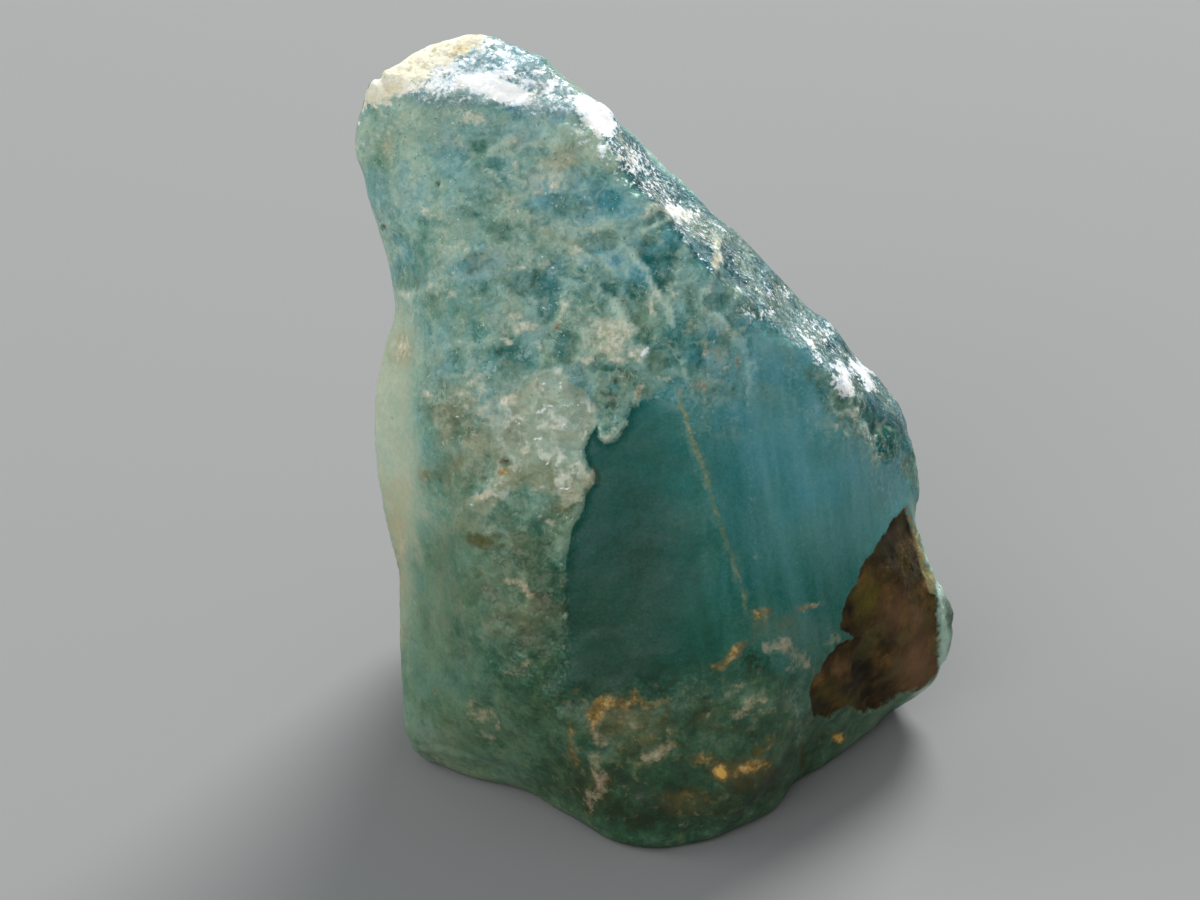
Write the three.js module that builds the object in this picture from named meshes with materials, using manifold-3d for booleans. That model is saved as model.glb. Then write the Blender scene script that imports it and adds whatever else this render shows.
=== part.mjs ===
// Rough grandidierite crystal: one broken, blue-green, cloudy-translucent crystal that stands on
// its own foot. One solid, in millimetres, +Z up, origin at the middle of its bounding box on the
// resting plane. The front (the side with the smooth dark window) looks towards -Y.
//
// The stone broke along a set of nearly flat faces. Its body is star-shaped about one inner point
// (HEART), so it is stated as a radius in every direction: each face gives R / radius as a linear
// function of direction, the nearest face wins (with softly worn corners), and the rim points
// below then carry the small bulges, the waist and the notch by which the real break leaves those
// flat faces. The foot is cut flat at z = 0, which is the face the stone rests on.

import * as THREE from "three";
import { mergeVertices } from "three/addons/utils/BufferGeometryUtils.js";
import Module from "manifold-3d";

// ---------------------------------------------------------------- driving dimensions (mm)
const HEART = new THREE.Vector3(-1.6002, -0.3419, 7.8534); // point that every part of the surface can be seen from
const R = 7.8534; // reference radius: a face R away squarely has the value 1
const EDGE_SHARPNESS = 60; // higher = crisper edges between faces; 60 wears them to about 0.2 mm
const RIM_REACH = 0.07; // how locally a rim point acts, in units of direction (radians, about)
const SURFACE_DETAIL = 16; // icosphere detail: 20 (n + 1)^2 triangles before the foot is cut
const FOOT_Z = 0; // resting plane
const SPAN = 40; // a box wider than the stone, for cutting the foot

// Broken faces: outward normal (x, y, z), then a point on the face.
const FACES = {
  cap:               [-0.0123, -0.2733, 0.9619,  -1.716, -2.934, 16.98], // rough flat top, tipped slightly back
  strip:             [0.7163, 0.0311, 0.6971,  3.323, -0.127, 12.645], // long slanting break along the upper right
  upper_front:       [-0.0829, -0.8004, 0.5937,  -2.032, -4.514, 10.949], // front of the narrow upper half, leaning back
  upper_left:        [-0.7734, -0.6012, 0.2011,  -5.661, -3.498, 8.91], // left shoulder of the upper half
  left_front:        [-0.3252, -0.8914, 0.3157,  -3.106, -4.47, 9.316], // front of the lower half, left of the smooth window
  left:              [-0.8325, -0.5513, 0.0549,  -5.886, -3.179, 8.136], // pale band down the left edge
  window:            [-0.1067, -0.9291, 0.3541,  -2.064, -4.383, 9.394], // smooth dark cleavage in the middle
  right_front:       [0.4748, -0.7803, 0.4071,  1.007, -4.627, 10.089], // broad smooth face to the right of the veinlet ridge
  right_end:         [0.7427, -0.6185, 0.2566,  3.312, -4.433, 9.551], // blunt right end below the slanting break
  lower_front:       [0.1045, -0.984, 0.1444,  -1.018, -5.817, 8.657], // front foot
  lower_left:        [-0.5172, -0.8067, -0.2861,  -4.991, -5.631, 5.977], // undercut foot at the left
  lower_right:       [0.7408, -0.6471, -0.1803,  4.284, -5.481, 6.421], // undercut foot at the right
  brown:             [0.7083, -0.6883, 0.1568,  3.101, -4.91, 8.894], // face that carries the brown host-rock skin
  back_left:         [-0.5033, 0.8556, 0.1208,  -5.032, 5.494, 8.677], // back, left of the spine
  back_right:        [0.5549, 0.8071, 0.2018,  1.609, 4.327, 9.02], // back, right of the spine
  back:              [0.0502, 0.974, 0.2209,  -1.28, 5.875, 9.263], // back, middle
  right_back:        [0.9524, 0.3008, -0.0501,  7.01, 2.378, 7.4], // back of the right end
  upper_back:        [0.1003, 0.7519, 0.6516,  -0.674, 6.603, 13.873], // slope behind the cap
  left_side:         [-0.9798, 0.1451, -0.1375,  -7.073, 0.469, 7.085], // left side
  upper_right_back:  [0.6108, 0.5599, 0.5599,  2.4, 3.325, 11.52], // slope behind the slanting break
  under_back:        [0, 0.8, -0.6,  -1.6, 6.025, 3.079], // undercut at the back of the foot
  upper_left_back:   [-0.7667, 0.6338, 0.1022,  -7.168, 4.261, 8.596], // upper left, behind
  upper_left_bevel:  [-0.4693, -0.7681, 0.4356,  -4.131, -4.486, 10.203], // worn corner between upper_left and upper_front
  left_bevel:        [-0.6137, -0.7647, 0.1964,  -4.669, -4.167, 8.836], // worn corner between left and left_front
};

// Points on the outline where the surface departs from the flat faces: crest, slanting break,
// right-hand notch, right lobe, scalloped foot, straight left side, waist and shoulder.
const RIM = [
  [-7.696, 2.421, 17.716], [-7.112, 2.54, 18.467], [-6.25, 3.054, 18.76], [-5.386, 3.038, 19.026], [-4.43, 3.407, 18.902],
  [-3.564, 2.814, 18.885], [-2.69, 2.577, 18.334], [-1.943, 1.992, 18.019], [-1.277, 1.856, 17.427], [-0.409, 2.234, 16.327],
  [0.122, 2.142, 15.805], [0.855, 1.849, 15.099], [1.546, 1.603, 14.517], [1.965, 1.546, 14.131], [2.384, 1.197, 13.802],
  [2.864, 1.256, 13.197], [3.214, 1.191, 12.841], [3.559, 1.126, 12.488], [4.087, 1.163, 11.943], [4.461, 1.107, 11.62],
  [4.776, 1.038, 11.266], [5.074, 1.104, 10.831], [5.626, 0.945, 10.238], [6.037, 0.731, 9.843], [6.561, 0.507, 9.077],
  [6.721, 0.228, 8.557], [6.893, 0.24, 7.853], [6.997, -0.051, 7.315], [6.878, -0.341, 6.456], [6.987, -0.341, 5.731],
  [7.257, -0.341, 4.934], [7.754, -0.657, 4.145], [7.935, -0.663, 3.277], [7.764, -0.341, 2.066], [7.595, -0.341, 1.514],
  [7.277, -0.341, 1.001], [6.775, -0.341, 0.584], [6.309, -0.341, 0.09], [5.84, -0.998, 0.067], [5.383, -1.636, 0.047],
  [4.935, -2.255, 0.031], [4.474, -2.845, 0.05], [3.7, -3.617, -0.044], [3.37, -4.276, -0.188], [3.007, -4.96, -0.317],
  [2.48, -5.5, -0.17], [1.939, -5.997, 0.023], [0.862, -6.585, -0.297], [-0.268, -6.798, -0.161], [-1.222, -6.476, -0.094],
  [-1.778, -6.012, 0.076], [-2.333, -5.295, -0.054], [-2.728, -4.872, -0.174], [-3.318, -4.236, -0.081], [-4.009, -3.692, -0.261],
  [-4.902, -3.496, 0.108], [-5.396, -3.079, -0.186], [-6.045, -2.696, 0.027], [-6.713, -2.758, 0.784], [-6.915, -2.287, 1.963],
  [-6.935, -2.13, 3.127], [-6.95, -1.756, 4.006], [-6.956, -1.622, 4.525], [-6.953, -1.501, 5.227], [-7.069, -1.315, 6.048],
  [-7.187, -1.126, 6.641], [-7.318, -0.936, 7.486], [-7.434, -0.741, 8.347], [-7.47, -0.54, 9.201], [-7.475, -0.341, 9.79],
  [-7.453, -0.144, 10.418], [-7.365, 0.053, 11.022], [-7.24, 0.329, 11.595], [-7.047, 0.564, 12.242], [-7.027, 0.679, 12.859],
  [-7.144, 1.183, 13.234], [-7.554, 1.498, 14.51], [-7.878, 1.814, 15.919],
];

// Directions in which the flat faces are left as they are.
const STILL = [
  [-1.6, 6.211, 7.853], [-4.119, 5.452, 11.632], [0.255, 6.461, 4.143], [4.021, 3.312, 6.448], [-5.122, 6.115, 3.451],
  [-1.6, 4.561, 14.562], [2.541, 2.143, 12.547], [-0.867, -5.107, 7.853], [-3.567, -3.292, 11.788], [-4.984, -1.751, 14.056],
  [-5.761, -0.064, 16.176], [2.519, -4.873, 7.853], [5.083, -2.94, 7.853], [-5.305, -4.458, 3.737], [-1.6, -6.486, 2.268],
  [1.538, -6.618, 1.263], [-4.525, -4.729, 2.589], [-1.6, -0.341, -5.41], [-5.443, -0.341, -4.958], [2.379, -0.341, -5.41],
  [4.43, -2.353, -4.207], [-1.6, -4.474, -3.417], [-1.6, 2.925, -1.055], [5.726, -2.89, 3.076], [6.429, -1.947, 6.248],
  [-3.114, 0.92, 17.947], [0.219, 1.173, 15.735],
];

// ---------------------------------------------------------------- the body as a radius field
const planes = Object.values(FACES).map(([nx, ny, nz, px, py, pz]) => {
  const n = new THREE.Vector3(nx, ny, nz).normalize();
  const distance = n.dot(new THREE.Vector3(px, py, pz).sub(HEART));
  return { n, distance };
});

// R / radius of the faceted body in direction u, with soft edges (a smooth maximum).
function facetValue(u) {
  const v = planes.map((p) => (R * u.dot(p.n)) / p.distance);
  const top = Math.max(...v);
  let sum = 0;
  for (const x of v) sum += Math.exp(EDGE_SHARPNESS * (x - top));
  return top + Math.log(sum) / EDGE_SHARPNESS;
}

const kernel = (a, b) =>
  Math.sqrt(a.distanceToSquared(b) + RIM_REACH * RIM_REACH);

// Solves A x = b by Gaussian elimination with pivoting.
function solve(A, b) {
  const n = b.length;
  const M = A.map((row, i) => [...row, b[i]]);
  for (let c = 0; c < n; c++) {
    let p = c;
    for (let r = c + 1; r < n; r++)
      if (Math.abs(M[r][c]) > Math.abs(M[p][c])) p = r;
    [M[c], M[p]] = [M[p], M[c]];
    for (let r = c + 1; r < n; r++) {
      const f = M[r][c] / M[c][c];
      if (f !== 0) for (let k = c; k <= n; k++) M[r][k] -= f * M[c][k];
    }
  }
  const x = new Array(n).fill(0);
  for (let r = n - 1; r >= 0; r--) {
    let s = M[r][n];
    for (let k = r + 1; k < n; k++) s -= M[r][k] * x[k];
    x[r] = s / M[r][r];
  }
  return x;
}

// Weights of the rim correction: it is zero towards STILL and makes the surface pass RIM.
const pins = [];
for (const p of RIM) {
  const d = new THREE.Vector3(...p).sub(HEART);
  const radius = d.length();
  const u = d.divideScalar(radius);
  pins.push({ u, value: R / radius - facetValue(u) });
}
for (const p of STILL) {
  const u = new THREE.Vector3(...p).sub(HEART).normalize();
  pins.push({ u, value: 0 });
}
const count = pins.length;
const matrix = pins.map((a, i) => [
  ...pins.map((b, j) => kernel(a.u, b.u) - (i === j ? 1e-4 : 0)),
  1,
]);
matrix.push([...new Array(count).fill(1), 0]);
const weights = solve(matrix, [...pins.map((p) => p.value), 0]);

function radiusAt(u) {
  let q = facetValue(u) + weights[count];
  for (let i = 0; i < count; i++) q += weights[i] * kernel(u, pins[i].u);
  return R / q;
}

// ---------------------------------------------------------------- closed mesh of the body
function bodyGeometry() {
  const sphere = new THREE.IcosahedronGeometry(1, SURFACE_DETAIL);
  sphere.deleteAttribute("normal");
  sphere.deleteAttribute("uv");
  const g = mergeVertices(sphere, 1e-5);
  const pos = g.attributes.position;
  const u = new THREE.Vector3();
  for (let i = 0; i < pos.count; i++) {
    u.fromBufferAttribute(pos, i).normalize();
    const r = radiusAt(u);
    const p = u.clone().multiplyScalar(r).add(HEART);
    // A vertex a hair above or below the resting plane is put on it, so the cut leaves no slivers.
    if (Math.abs(p.z - FOOT_Z) < 0.1) p.z = FOOT_Z;
    pos.setXYZ(i, p.x, p.y, p.z);
  }
  return g;
}

// ---------------------------------------------------------------- flat foot
const wasm = await Module();
wasm.setup();

function toSolid(geometry) {
  let g = geometry;
  if (g.attributes.normal) g.deleteAttribute("normal");
  if (g.attributes.uv) g.deleteAttribute("uv");
  g = mergeVertices(g, 1e-5);
  return new wasm.Manifold(
    new wasm.Mesh({
      numProp: 3,
      vertProperties: new Float32Array(g.attributes.position.array),
      triVerts: new Uint32Array(g.index.array),
    }),
  );
}

function toGeometry(solid) {
  const m = solid.getMesh();
  const g = new THREE.BufferGeometry();
  g.setAttribute(
    "position",
    new THREE.BufferAttribute(new Float32Array(m.vertProperties), 3),
  );
  g.setIndex(new THREE.BufferAttribute(new Uint32Array(m.triVerts), 1));
  const flat = g.toNonIndexed(); // broken faces shade flat
  flat.computeVertexNormals();
  return flat;
}

const below = new THREE.BoxGeometry(SPAN, SPAN, SPAN);
below.translate(0, 0, FOOT_Z - SPAN / 2);
const stone = toSolid(bodyGeometry()).subtract(toSolid(below));

// ---------------------------------------------------------------- scene graph
const crystal = new THREE.Mesh(
  toGeometry(stone),
  new THREE.MeshStandardMaterial({
    color: new THREE.Color(0.23, 0.5, 0.5), // cloudy blue-green
    roughness: 0.42, // waxy to glassy, between rough breaks
    metalness: 0,
  }),
);
crystal.name = "grandidierite_crystal";

const part = new THREE.Group();
part.name = "grandidierite_crystal_part";
part.add(crystal);

export default part;
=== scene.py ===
# Rough grandidierite crystal: the looks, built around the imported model.
# All shape work below is in millimetres in the row frame and is scaled to metres at the end.
import math

import bpy
import numpy as np
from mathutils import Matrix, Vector


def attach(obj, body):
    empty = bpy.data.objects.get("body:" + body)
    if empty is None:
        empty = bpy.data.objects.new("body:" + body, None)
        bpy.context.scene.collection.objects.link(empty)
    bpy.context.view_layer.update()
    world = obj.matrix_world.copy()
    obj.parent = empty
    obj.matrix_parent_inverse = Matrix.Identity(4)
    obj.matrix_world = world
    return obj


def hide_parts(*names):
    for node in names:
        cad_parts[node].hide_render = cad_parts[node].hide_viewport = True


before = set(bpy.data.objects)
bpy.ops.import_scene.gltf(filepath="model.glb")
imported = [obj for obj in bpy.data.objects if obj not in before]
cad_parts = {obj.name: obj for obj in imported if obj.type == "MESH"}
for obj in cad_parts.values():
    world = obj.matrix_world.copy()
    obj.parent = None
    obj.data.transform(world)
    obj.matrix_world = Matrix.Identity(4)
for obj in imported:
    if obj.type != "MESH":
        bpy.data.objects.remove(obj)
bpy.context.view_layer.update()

# ------------------------------------------------------------------ the crystal's body
# The same radius field as the CAD solid: broken faces, then the points where the outline leaves them.
HEART = np.array([-1.6002, -0.3419, 7.8534])
R = 7.8534
EDGE = 60.0
REACH = 0.07
FACES = {
    "cap": [-0.0123, -0.2733, 0.9619, -1.716, -2.934, 16.98],
    "strip": [0.7163, 0.0311, 0.6971, 3.323, -0.127, 12.645],
    "upper_front": [-0.0829, -0.8004, 0.5937, -2.032, -4.514, 10.949],
    "upper_left": [-0.7734, -0.6012, 0.2011, -5.661, -3.498, 8.91],
    "left_front": [-0.3252, -0.8914, 0.3157, -3.106, -4.47, 9.316],
    "left": [-0.8325, -0.5513, 0.0549, -5.886, -3.179, 8.136],
    "window": [-0.1067, -0.9291, 0.3541, -2.064, -4.383, 9.394],
    "right_front": [0.4748, -0.7803, 0.4071, 1.007, -4.627, 10.089],
    "right_end": [0.7427, -0.6185, 0.2566, 3.312, -4.433, 9.551],
    "lower_front": [0.1045, -0.984, 0.1444, -1.018, -5.817, 8.657],
    "lower_left": [-0.5172, -0.8067, -0.2861, -4.991, -5.631, 5.977],
    "lower_right": [0.7408, -0.6471, -0.1803, 4.284, -5.481, 6.421],
    "brown": [0.7083, -0.6883, 0.1568, 3.101, -4.91, 8.894],
    "back_left": [-0.5033, 0.8556, 0.1208, -5.032, 5.494, 8.677],
    "back_right": [0.5549, 0.8071, 0.2018, 1.609, 4.327, 9.02],
    "back": [0.0502, 0.974, 0.2209, -1.28, 5.875, 9.263],
    "right_back": [0.9524, 0.3008, -0.0501, 7.01, 2.378, 7.4],
    "upper_back": [0.1003, 0.7519, 0.6516, -0.674, 6.603, 13.873],
    "left_side": [-0.9798, 0.1451, -0.1375, -7.073, 0.469, 7.085],
    "upper_right_back": [0.6108, 0.5599, 0.5599, 2.4, 3.325, 11.52],
    "under_back": [0, 0.8, -0.6, -1.6, 6.025, 3.079],
    "upper_left_back": [-0.7667, 0.6338, 0.1022, -7.168, 4.261, 8.596],
    "upper_left_bevel": [-0.4693, -0.7681, 0.4356, -4.131, -4.486, 10.203],
    "left_bevel": [-0.6137, -0.7647, 0.1964, -4.669, -4.167, 8.836],
}
RIM = np.array([
    [-7.696, 2.421, 17.716], [-7.112, 2.54, 18.467], [-6.25, 3.054, 18.76],
    [-5.386, 3.038, 19.026], [-4.43, 3.407, 18.902], [-3.564, 2.814, 18.885],
    [-2.69, 2.577, 18.334], [-1.943, 1.992, 18.019], [-1.277, 1.856, 17.427],
    [-0.409, 2.234, 16.327], [0.122, 2.142, 15.805], [0.855, 1.849, 15.099],
    [1.546, 1.603, 14.517], [1.965, 1.546, 14.131], [2.384, 1.197, 13.802],
    [2.864, 1.256, 13.197], [3.214, 1.191, 12.841], [3.559, 1.126, 12.488],
    [4.087, 1.163, 11.943], [4.461, 1.107, 11.62], [4.776, 1.038, 11.266],
    [5.074, 1.104, 10.831], [5.626, 0.945, 10.238], [6.037, 0.731, 9.843],
    [6.561, 0.507, 9.077], [6.721, 0.228, 8.557], [6.893, 0.24, 7.853],
    [6.997, -0.051, 7.315], [6.878, -0.341, 6.456], [6.987, -0.341, 5.731],
    [7.257, -0.341, 4.934], [7.754, -0.657, 4.145], [7.935, -0.663, 3.277],
    [7.764, -0.341, 2.066], [7.595, -0.341, 1.514], [7.277, -0.341, 1.001],
    [6.775, -0.341, 0.584], [6.309, -0.341, 0.09], [5.84, -0.998, 0.067],
    [5.383, -1.636, 0.047], [4.935, -2.255, 0.031], [4.474, -2.845, 0.05],
    [3.7, -3.617, -0.044], [3.37, -4.276, -0.188], [3.007, -4.96, -0.317],
    [2.48, -5.5, -0.17], [1.939, -5.997, 0.023], [0.862, -6.585, -0.297],
    [-0.268, -6.798, -0.161], [-1.222, -6.476, -0.094], [-1.778, -6.012, 0.076],
    [-2.333, -5.295, -0.054], [-2.728, -4.872, -0.174], [-3.318, -4.236, -0.081],
    [-4.009, -3.692, -0.261], [-4.902, -3.496, 0.108], [-5.396, -3.079, -0.186],
    [-6.045, -2.696, 0.027], [-6.713, -2.758, 0.784], [-6.915, -2.287, 1.963],
    [-6.935, -2.13, 3.127], [-6.95, -1.756, 4.006], [-6.956, -1.622, 4.525],
    [-6.953, -1.501, 5.227], [-7.069, -1.315, 6.048], [-7.187, -1.126, 6.641],
    [-7.318, -0.936, 7.486], [-7.434, -0.741, 8.347], [-7.47, -0.54, 9.201],
    [-7.475, -0.341, 9.79], [-7.453, -0.144, 10.418], [-7.365, 0.053, 11.022],
    [-7.24, 0.329, 11.595], [-7.047, 0.564, 12.242], [-7.027, 0.679, 12.859],
    [-7.144, 1.183, 13.234], [-7.554, 1.498, 14.51], [-7.878, 1.814, 15.919],
])
STILL = np.array([
    [-1.6, 6.211, 7.853], [-4.119, 5.452, 11.632], [0.255, 6.461, 4.143],
    [4.021, 3.312, 6.448], [-5.122, 6.115, 3.451], [-1.6, 4.561, 14.562],
    [2.541, 2.143, 12.547], [-0.867, -5.107, 7.853], [-3.567, -3.292, 11.788],
    [-4.984, -1.751, 14.056], [-5.761, -0.064, 16.176], [2.519, -4.873, 7.853],
    [5.083, -2.94, 7.853], [-5.305, -4.458, 3.737], [-1.6, -6.486, 2.268],
    [1.538, -6.618, 1.263], [-4.525, -4.729, 2.589], [-1.6, -0.341, -5.41],
    [-5.443, -0.341, -4.958], [2.379, -0.341, -5.41], [4.43, -2.353, -4.207],
    [-1.6, -4.474, -3.417], [-1.6, 2.925, -1.055], [5.726, -2.89, 3.076],
    [6.429, -1.947, 6.248], [-3.114, 0.92, 17.947], [0.219, 1.173, 15.735],
])

_n = np.array([v[:3] for v in FACES.values()], float)
_n /= np.linalg.norm(_n, axis=1)[:, None]
_d = np.einsum("ij,ij->i", _n, np.array([v[3:] for v in FACES.values()], float) - HEART)


def facet_value(u, edge=EDGE):
    v = R * (u @ _n.T) / _d
    top = v.max(1)
    return top + np.log(np.exp(edge * (v - top[:, None])).sum(1)) / edge


def _kernel(a, b):
    return np.sqrt(((a[:, None] - b[None]) ** 2).sum(-1) + REACH * REACH)


def _fit():
    d = RIM - HEART
    r = np.linalg.norm(d, axis=1)
    u1 = d / r[:, None]
    d2 = STILL - HEART
    u2 = d2 / np.linalg.norm(d2, axis=1)[:, None]
    u = np.vstack([u1, u2])
    q = np.append(R / r - facet_value(u1), np.zeros(len(u2)))
    n = len(u)
    a = np.zeros((n + 1, n + 1))
    a[:n, :n] = _kernel(u, u) - 1e-4 * np.eye(n)
    a[:n, n] = 1
    a[n, :n] = 1
    return u, np.linalg.solve(a, np.append(q, 0))


PIN_U, PIN_W = _fit()


def radius(u, edge=EDGE, foot_edge=90.0):
    """Distance from HEART to the surface in each direction u, with the flat foot blended in."""
    q = np.empty(len(u))
    for i in range(0, len(u), 20000):
        s = u[i : i + 20000]
        q[i : i + 20000] = facet_value(s, edge) + _kernel(s, PIN_U) @ PIN_W[:-1] + PIN_W[-1]
    foot = R * (-u[:, 2]) / HEART[2]
    top = np.maximum(q, foot)
    q = top + np.log(np.exp(foot_edge * (q - top)) + np.exp(foot_edge * (foot - top))) / foot_edge
    return R / q


# ------------------------------------------------------------------ noise, in plain numpy
class Noise:
    def __init__(self, seed):
        rng = np.random.RandomState(seed)
        self.perm = np.concatenate([rng.permutation(256)] * 3)
        g = rng.normal(size=(256, 3))
        self.grad = g / np.linalg.norm(g, axis=1)[:, None]
        self.jit = rng.rand(256, 3)
        self.val = rng.rand(256)

    def _hash(self, c):
        c = c & 255
        return self.perm[self.perm[self.perm[c[..., 0]] + c[..., 1]] + c[..., 2]]

    def gradient(self, p):
        c = np.floor(p).astype(int)
        f = p - c
        w = f * f * f * (f * (f * 6 - 15) + 10)
        out = 0.0
        for i in (0, 1):
            for j in (0, 1):
                for k in (0, 1):
                    o = np.array([i, j, k])
                    g = self.grad[self._hash(c + o)]
                    dot = ((f - o) * g).sum(-1)
                    wt = (
                        (w[..., 0] if i else 1 - w[..., 0])
                        * (w[..., 1] if j else 1 - w[..., 1])
                        * (w[..., 2] if k else 1 - w[..., 2])
                    )
                    out = out + dot * wt
        return out * 1.6  # about -1..1

    def fbm(self, p, octaves=4, gain=0.5, lac=2.03):
        out, amp, tot = 0.0, 1.0, 0.0
        for i in range(octaves):
            out = out + amp * self.gradient(p * lac**i + 17.3 * i)
            tot += amp
            amp *= gain
        return out / tot

    def ridged(self, p, octaves=4, gain=0.5, lac=2.03):
        out, amp, tot = 0.0, 1.0, 0.0
        for i in range(octaves):
            out = out + amp * (1 - np.abs(self.gradient(p * lac**i + 9.1 * i)))
            tot += amp
            amp *= gain
        return out / tot

    def _corners(self, p, jitter):
        c = np.floor(p).astype(int)
        for i in (-1, 0, 1):
            for j in (-1, 0, 1):
                for k in (-1, 0, 1):
                    cc = c + np.array([i, j, k])
                    h = self._hash(cc)
                    yield h, cc + 0.5 + (self.jit[h] - 0.5) * jitter

    def cells(self, p, jitter=0.9):
        """Distance to the nearest and second nearest cell point, and a random value of the nearest cell."""
        f1 = np.full(len(p), 9.0)
        f2 = np.full(len(p), 9.0)
        val = np.zeros(len(p))
        for h, q in self._corners(p, jitter):
            d = np.linalg.norm(q - p, axis=1)
            near = d < f1
            f2 = np.where(near, f1, np.minimum(f2, d))
            val = np.where(near, self.val[h], val)
            f1 = np.where(near, d, f1)
        return f1, f2, val

    def chips(self, p, slope=0.5, sharp=14.0, jitter=0.95):
        """Tilted chip facets: a height for each point, in cell sizes."""
        num = np.zeros(len(p))
        den = np.zeros(len(p))
        for h, q in self._corners(p, jitter):
            d = p - q
            w = np.exp(-sharp * np.linalg.norm(d, axis=1))
            num += w * ((d * self.grad[h]).sum(1) * slope + (self.val[h] - 0.5) * 0.25 * slope)
            den += w
        return num / (den + 1e-12)

    def vector(self, p, octaves=2):
        return np.stack([self.fbm(p + o, octaves) for o in (0.0, 101.7, 203.9)], axis=1)


def smooth(x, a, b):
    t = np.clip((x - a) / (b - a), 0, 1)
    return t * t * (3 - 2 * t)


# ------------------------------------------------------------------ front view frame
# Marks on the front are placed in the front view: a 1200 x 900 frame, seen 30 degrees from above
# along +Y from 160 mm away, 38.2 units to a millimetre.
UNIT = 38.2
ELEV = math.radians(30.0)
DIST = 160.0
VIEW = np.array([0.0, -math.cos(ELEV), math.sin(ELEV)])  # from the stone to the eye
FOCUS = np.array([-1.6002, -3.2215, 450 * math.cos(ELEV) / UNIT])


def front(p):
    """Front view coordinates of points p: x to the right, y down."""
    d = p - FOCUS
    up = d[:, 1] * math.sin(ELEV) + d[:, 2] * math.cos(ELEV)
    w = d @ VIEW
    k = DIST / (DIST - w)
    return 600 + UNIT * d[:, 0] * k, 450 - UNIT * up * k


def blob(x, y, cx, cy, rx, ry, turn=0.0, soft=0.6):
    """1 inside an ellipse, falling to 0 over the outer part of its radius. turn is clockwise in the view."""
    a = math.radians(turn)
    dx, dy = x - cx, y - cy
    u = (dx * math.cos(a) + dy * math.sin(a)) / rx
    v = (-dx * math.sin(a) + dy * math.cos(a)) / ry
    return 1 - smooth(np.sqrt(u * u + v * v), 1 - soft, 1 + soft * 0.6)


def line_distance(x, y, pts):
    best = np.full(len(x), 1e9)
    for (ax, ay), (bx, by) in zip(pts[:-1], pts[1:]):
        dx, dy = bx - ax, by - ay
        t = np.clip(((x - ax) * dx + (y - ay) * dy) / (dx * dx + dy * dy), 0, 1)
        best = np.minimum(best, np.hypot(x - ax - t * dx, y - ay - t * dy))
    return best


def stroke(x, y, pts, width, soft=0.8):
    return 1 - smooth(line_distance(x, y, pts) / width, 1 - soft, 1 + soft)


def patches(x, y, marks, soft=0.8):
    """The strongest of several ellipses (cx, cy, rx, ry, turn, strength)."""
    out = np.zeros(len(x))
    for cx, cy, rx, ry, turn, s in marks:
        near = (np.abs(x - cx) < 2 * max(rx, ry)) & (np.abs(y - cy) < 2 * max(rx, ry))
        out[near] = np.maximum(out[near], s * blob(x[near], y[near], cx, cy, rx, ry, turn, soft))
    return out


def strokes(x, y, lines):
    """The strongest of several lines (points, half width, strength)."""
    out = np.zeros(len(x))
    for pts, width, s in lines:
        out = np.maximum(out, s * stroke(x, y, pts, width))
    return out


def inside(x, y, pts):
    """Signed distance to a closed outline, positive inside."""
    pts = list(pts)
    d = line_distance(x, y, pts + pts[:1])
    hit = np.zeros(len(x), bool)
    for (ax, ay), (bx, by) in zip(pts, pts[1:] + pts[:1]):
        cross = (ay > y) != (by > y)
        with np.errstate(divide="ignore", invalid="ignore"):
            xs = (bx - ax) * (y - ay) / (by - ay) + ax
        hit ^= cross & (x < xs)
    return np.where(hit, d, -d)


# ------------------------------------------------------------------ base mesh
def grow_mesh(voxel, ball=6):
    """Even quads over the radius field: a voxel remesh of a coarse ball laid on the surface."""
    import bmesh

    bm = bmesh.new()
    bmesh.ops.create_icosphere(bm, subdivisions=ball, radius=1.0)
    u = np.array([v.co for v in bm.verts])
    u /= np.linalg.norm(u, axis=1)[:, None]
    p = HEART + u * radius(u)[:, None]
    for v, q in zip(bm.verts, p):
        v.co = q
    me = bpy.data.meshes.new("ball")
    bm.to_mesh(me)
    bm.free()
    ob = bpy.data.objects.new("ball", me)
    bpy.context.scene.collection.objects.link(ob)
    mod = ob.modifiers.new("remesh", "REMESH")
    mod.mode = "VOXEL"
    mod.voxel_size = voxel
    dg = bpy.context.evaluated_depsgraph_get()
    ev = ob.evaluated_get(dg).to_mesh()
    v = np.empty(len(ev.vertices) * 3)
    ev.vertices.foreach_get("co", v)
    v = v.reshape(-1, 3)
    loops = np.empty(len(ev.loops), np.int32)
    ev.loops.foreach_get("vertex_index", loops)
    sizes = np.empty(len(ev.polygons), np.int32)
    ev.polygons.foreach_get("loop_total", sizes)
    assert (sizes == 4).all()
    f = loops.reshape(-1, 4)
    ob.evaluated_get(dg).to_mesh_clear()
    bpy.data.objects.remove(ob)
    bpy.data.meshes.remove(me)
    return v, f


def on_surface(v):
    d = v - HEART
    u = d / np.linalg.norm(d, axis=1)[:, None]
    return HEART + u * radius(u)[:, None]


def neighbours(f, n):
    e = np.vstack([f[:, [0, 1]], f[:, [1, 2]], f[:, [2, 3]], f[:, [3, 0]]])
    e = np.unique(np.sort(e, axis=1), axis=0)
    return e


def average(values, e, n):
    """Mean of each vertex's neighbours."""
    out = np.zeros((n,) + values.shape[1:])
    cnt = np.zeros(n)
    np.add.at(out, e[:, 0], values[e[:, 1]])
    np.add.at(out, e[:, 1], values[e[:, 0]])
    np.add.at(cnt, e[:, 0], 1)
    np.add.at(cnt, e[:, 1], 1)
    return out / (cnt[:, None] if values.ndim > 1 else cnt)


def normals(v, f):
    a = np.cross(v[f[:, 2]] - v[f[:, 0]], v[f[:, 3]] - v[f[:, 1]])
    out = np.zeros_like(v)
    for i in range(4):
        np.add.at(out, f[:, i], a)
    return out / (np.linalg.norm(out, axis=1)[:, None] + 1e-12)


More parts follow.
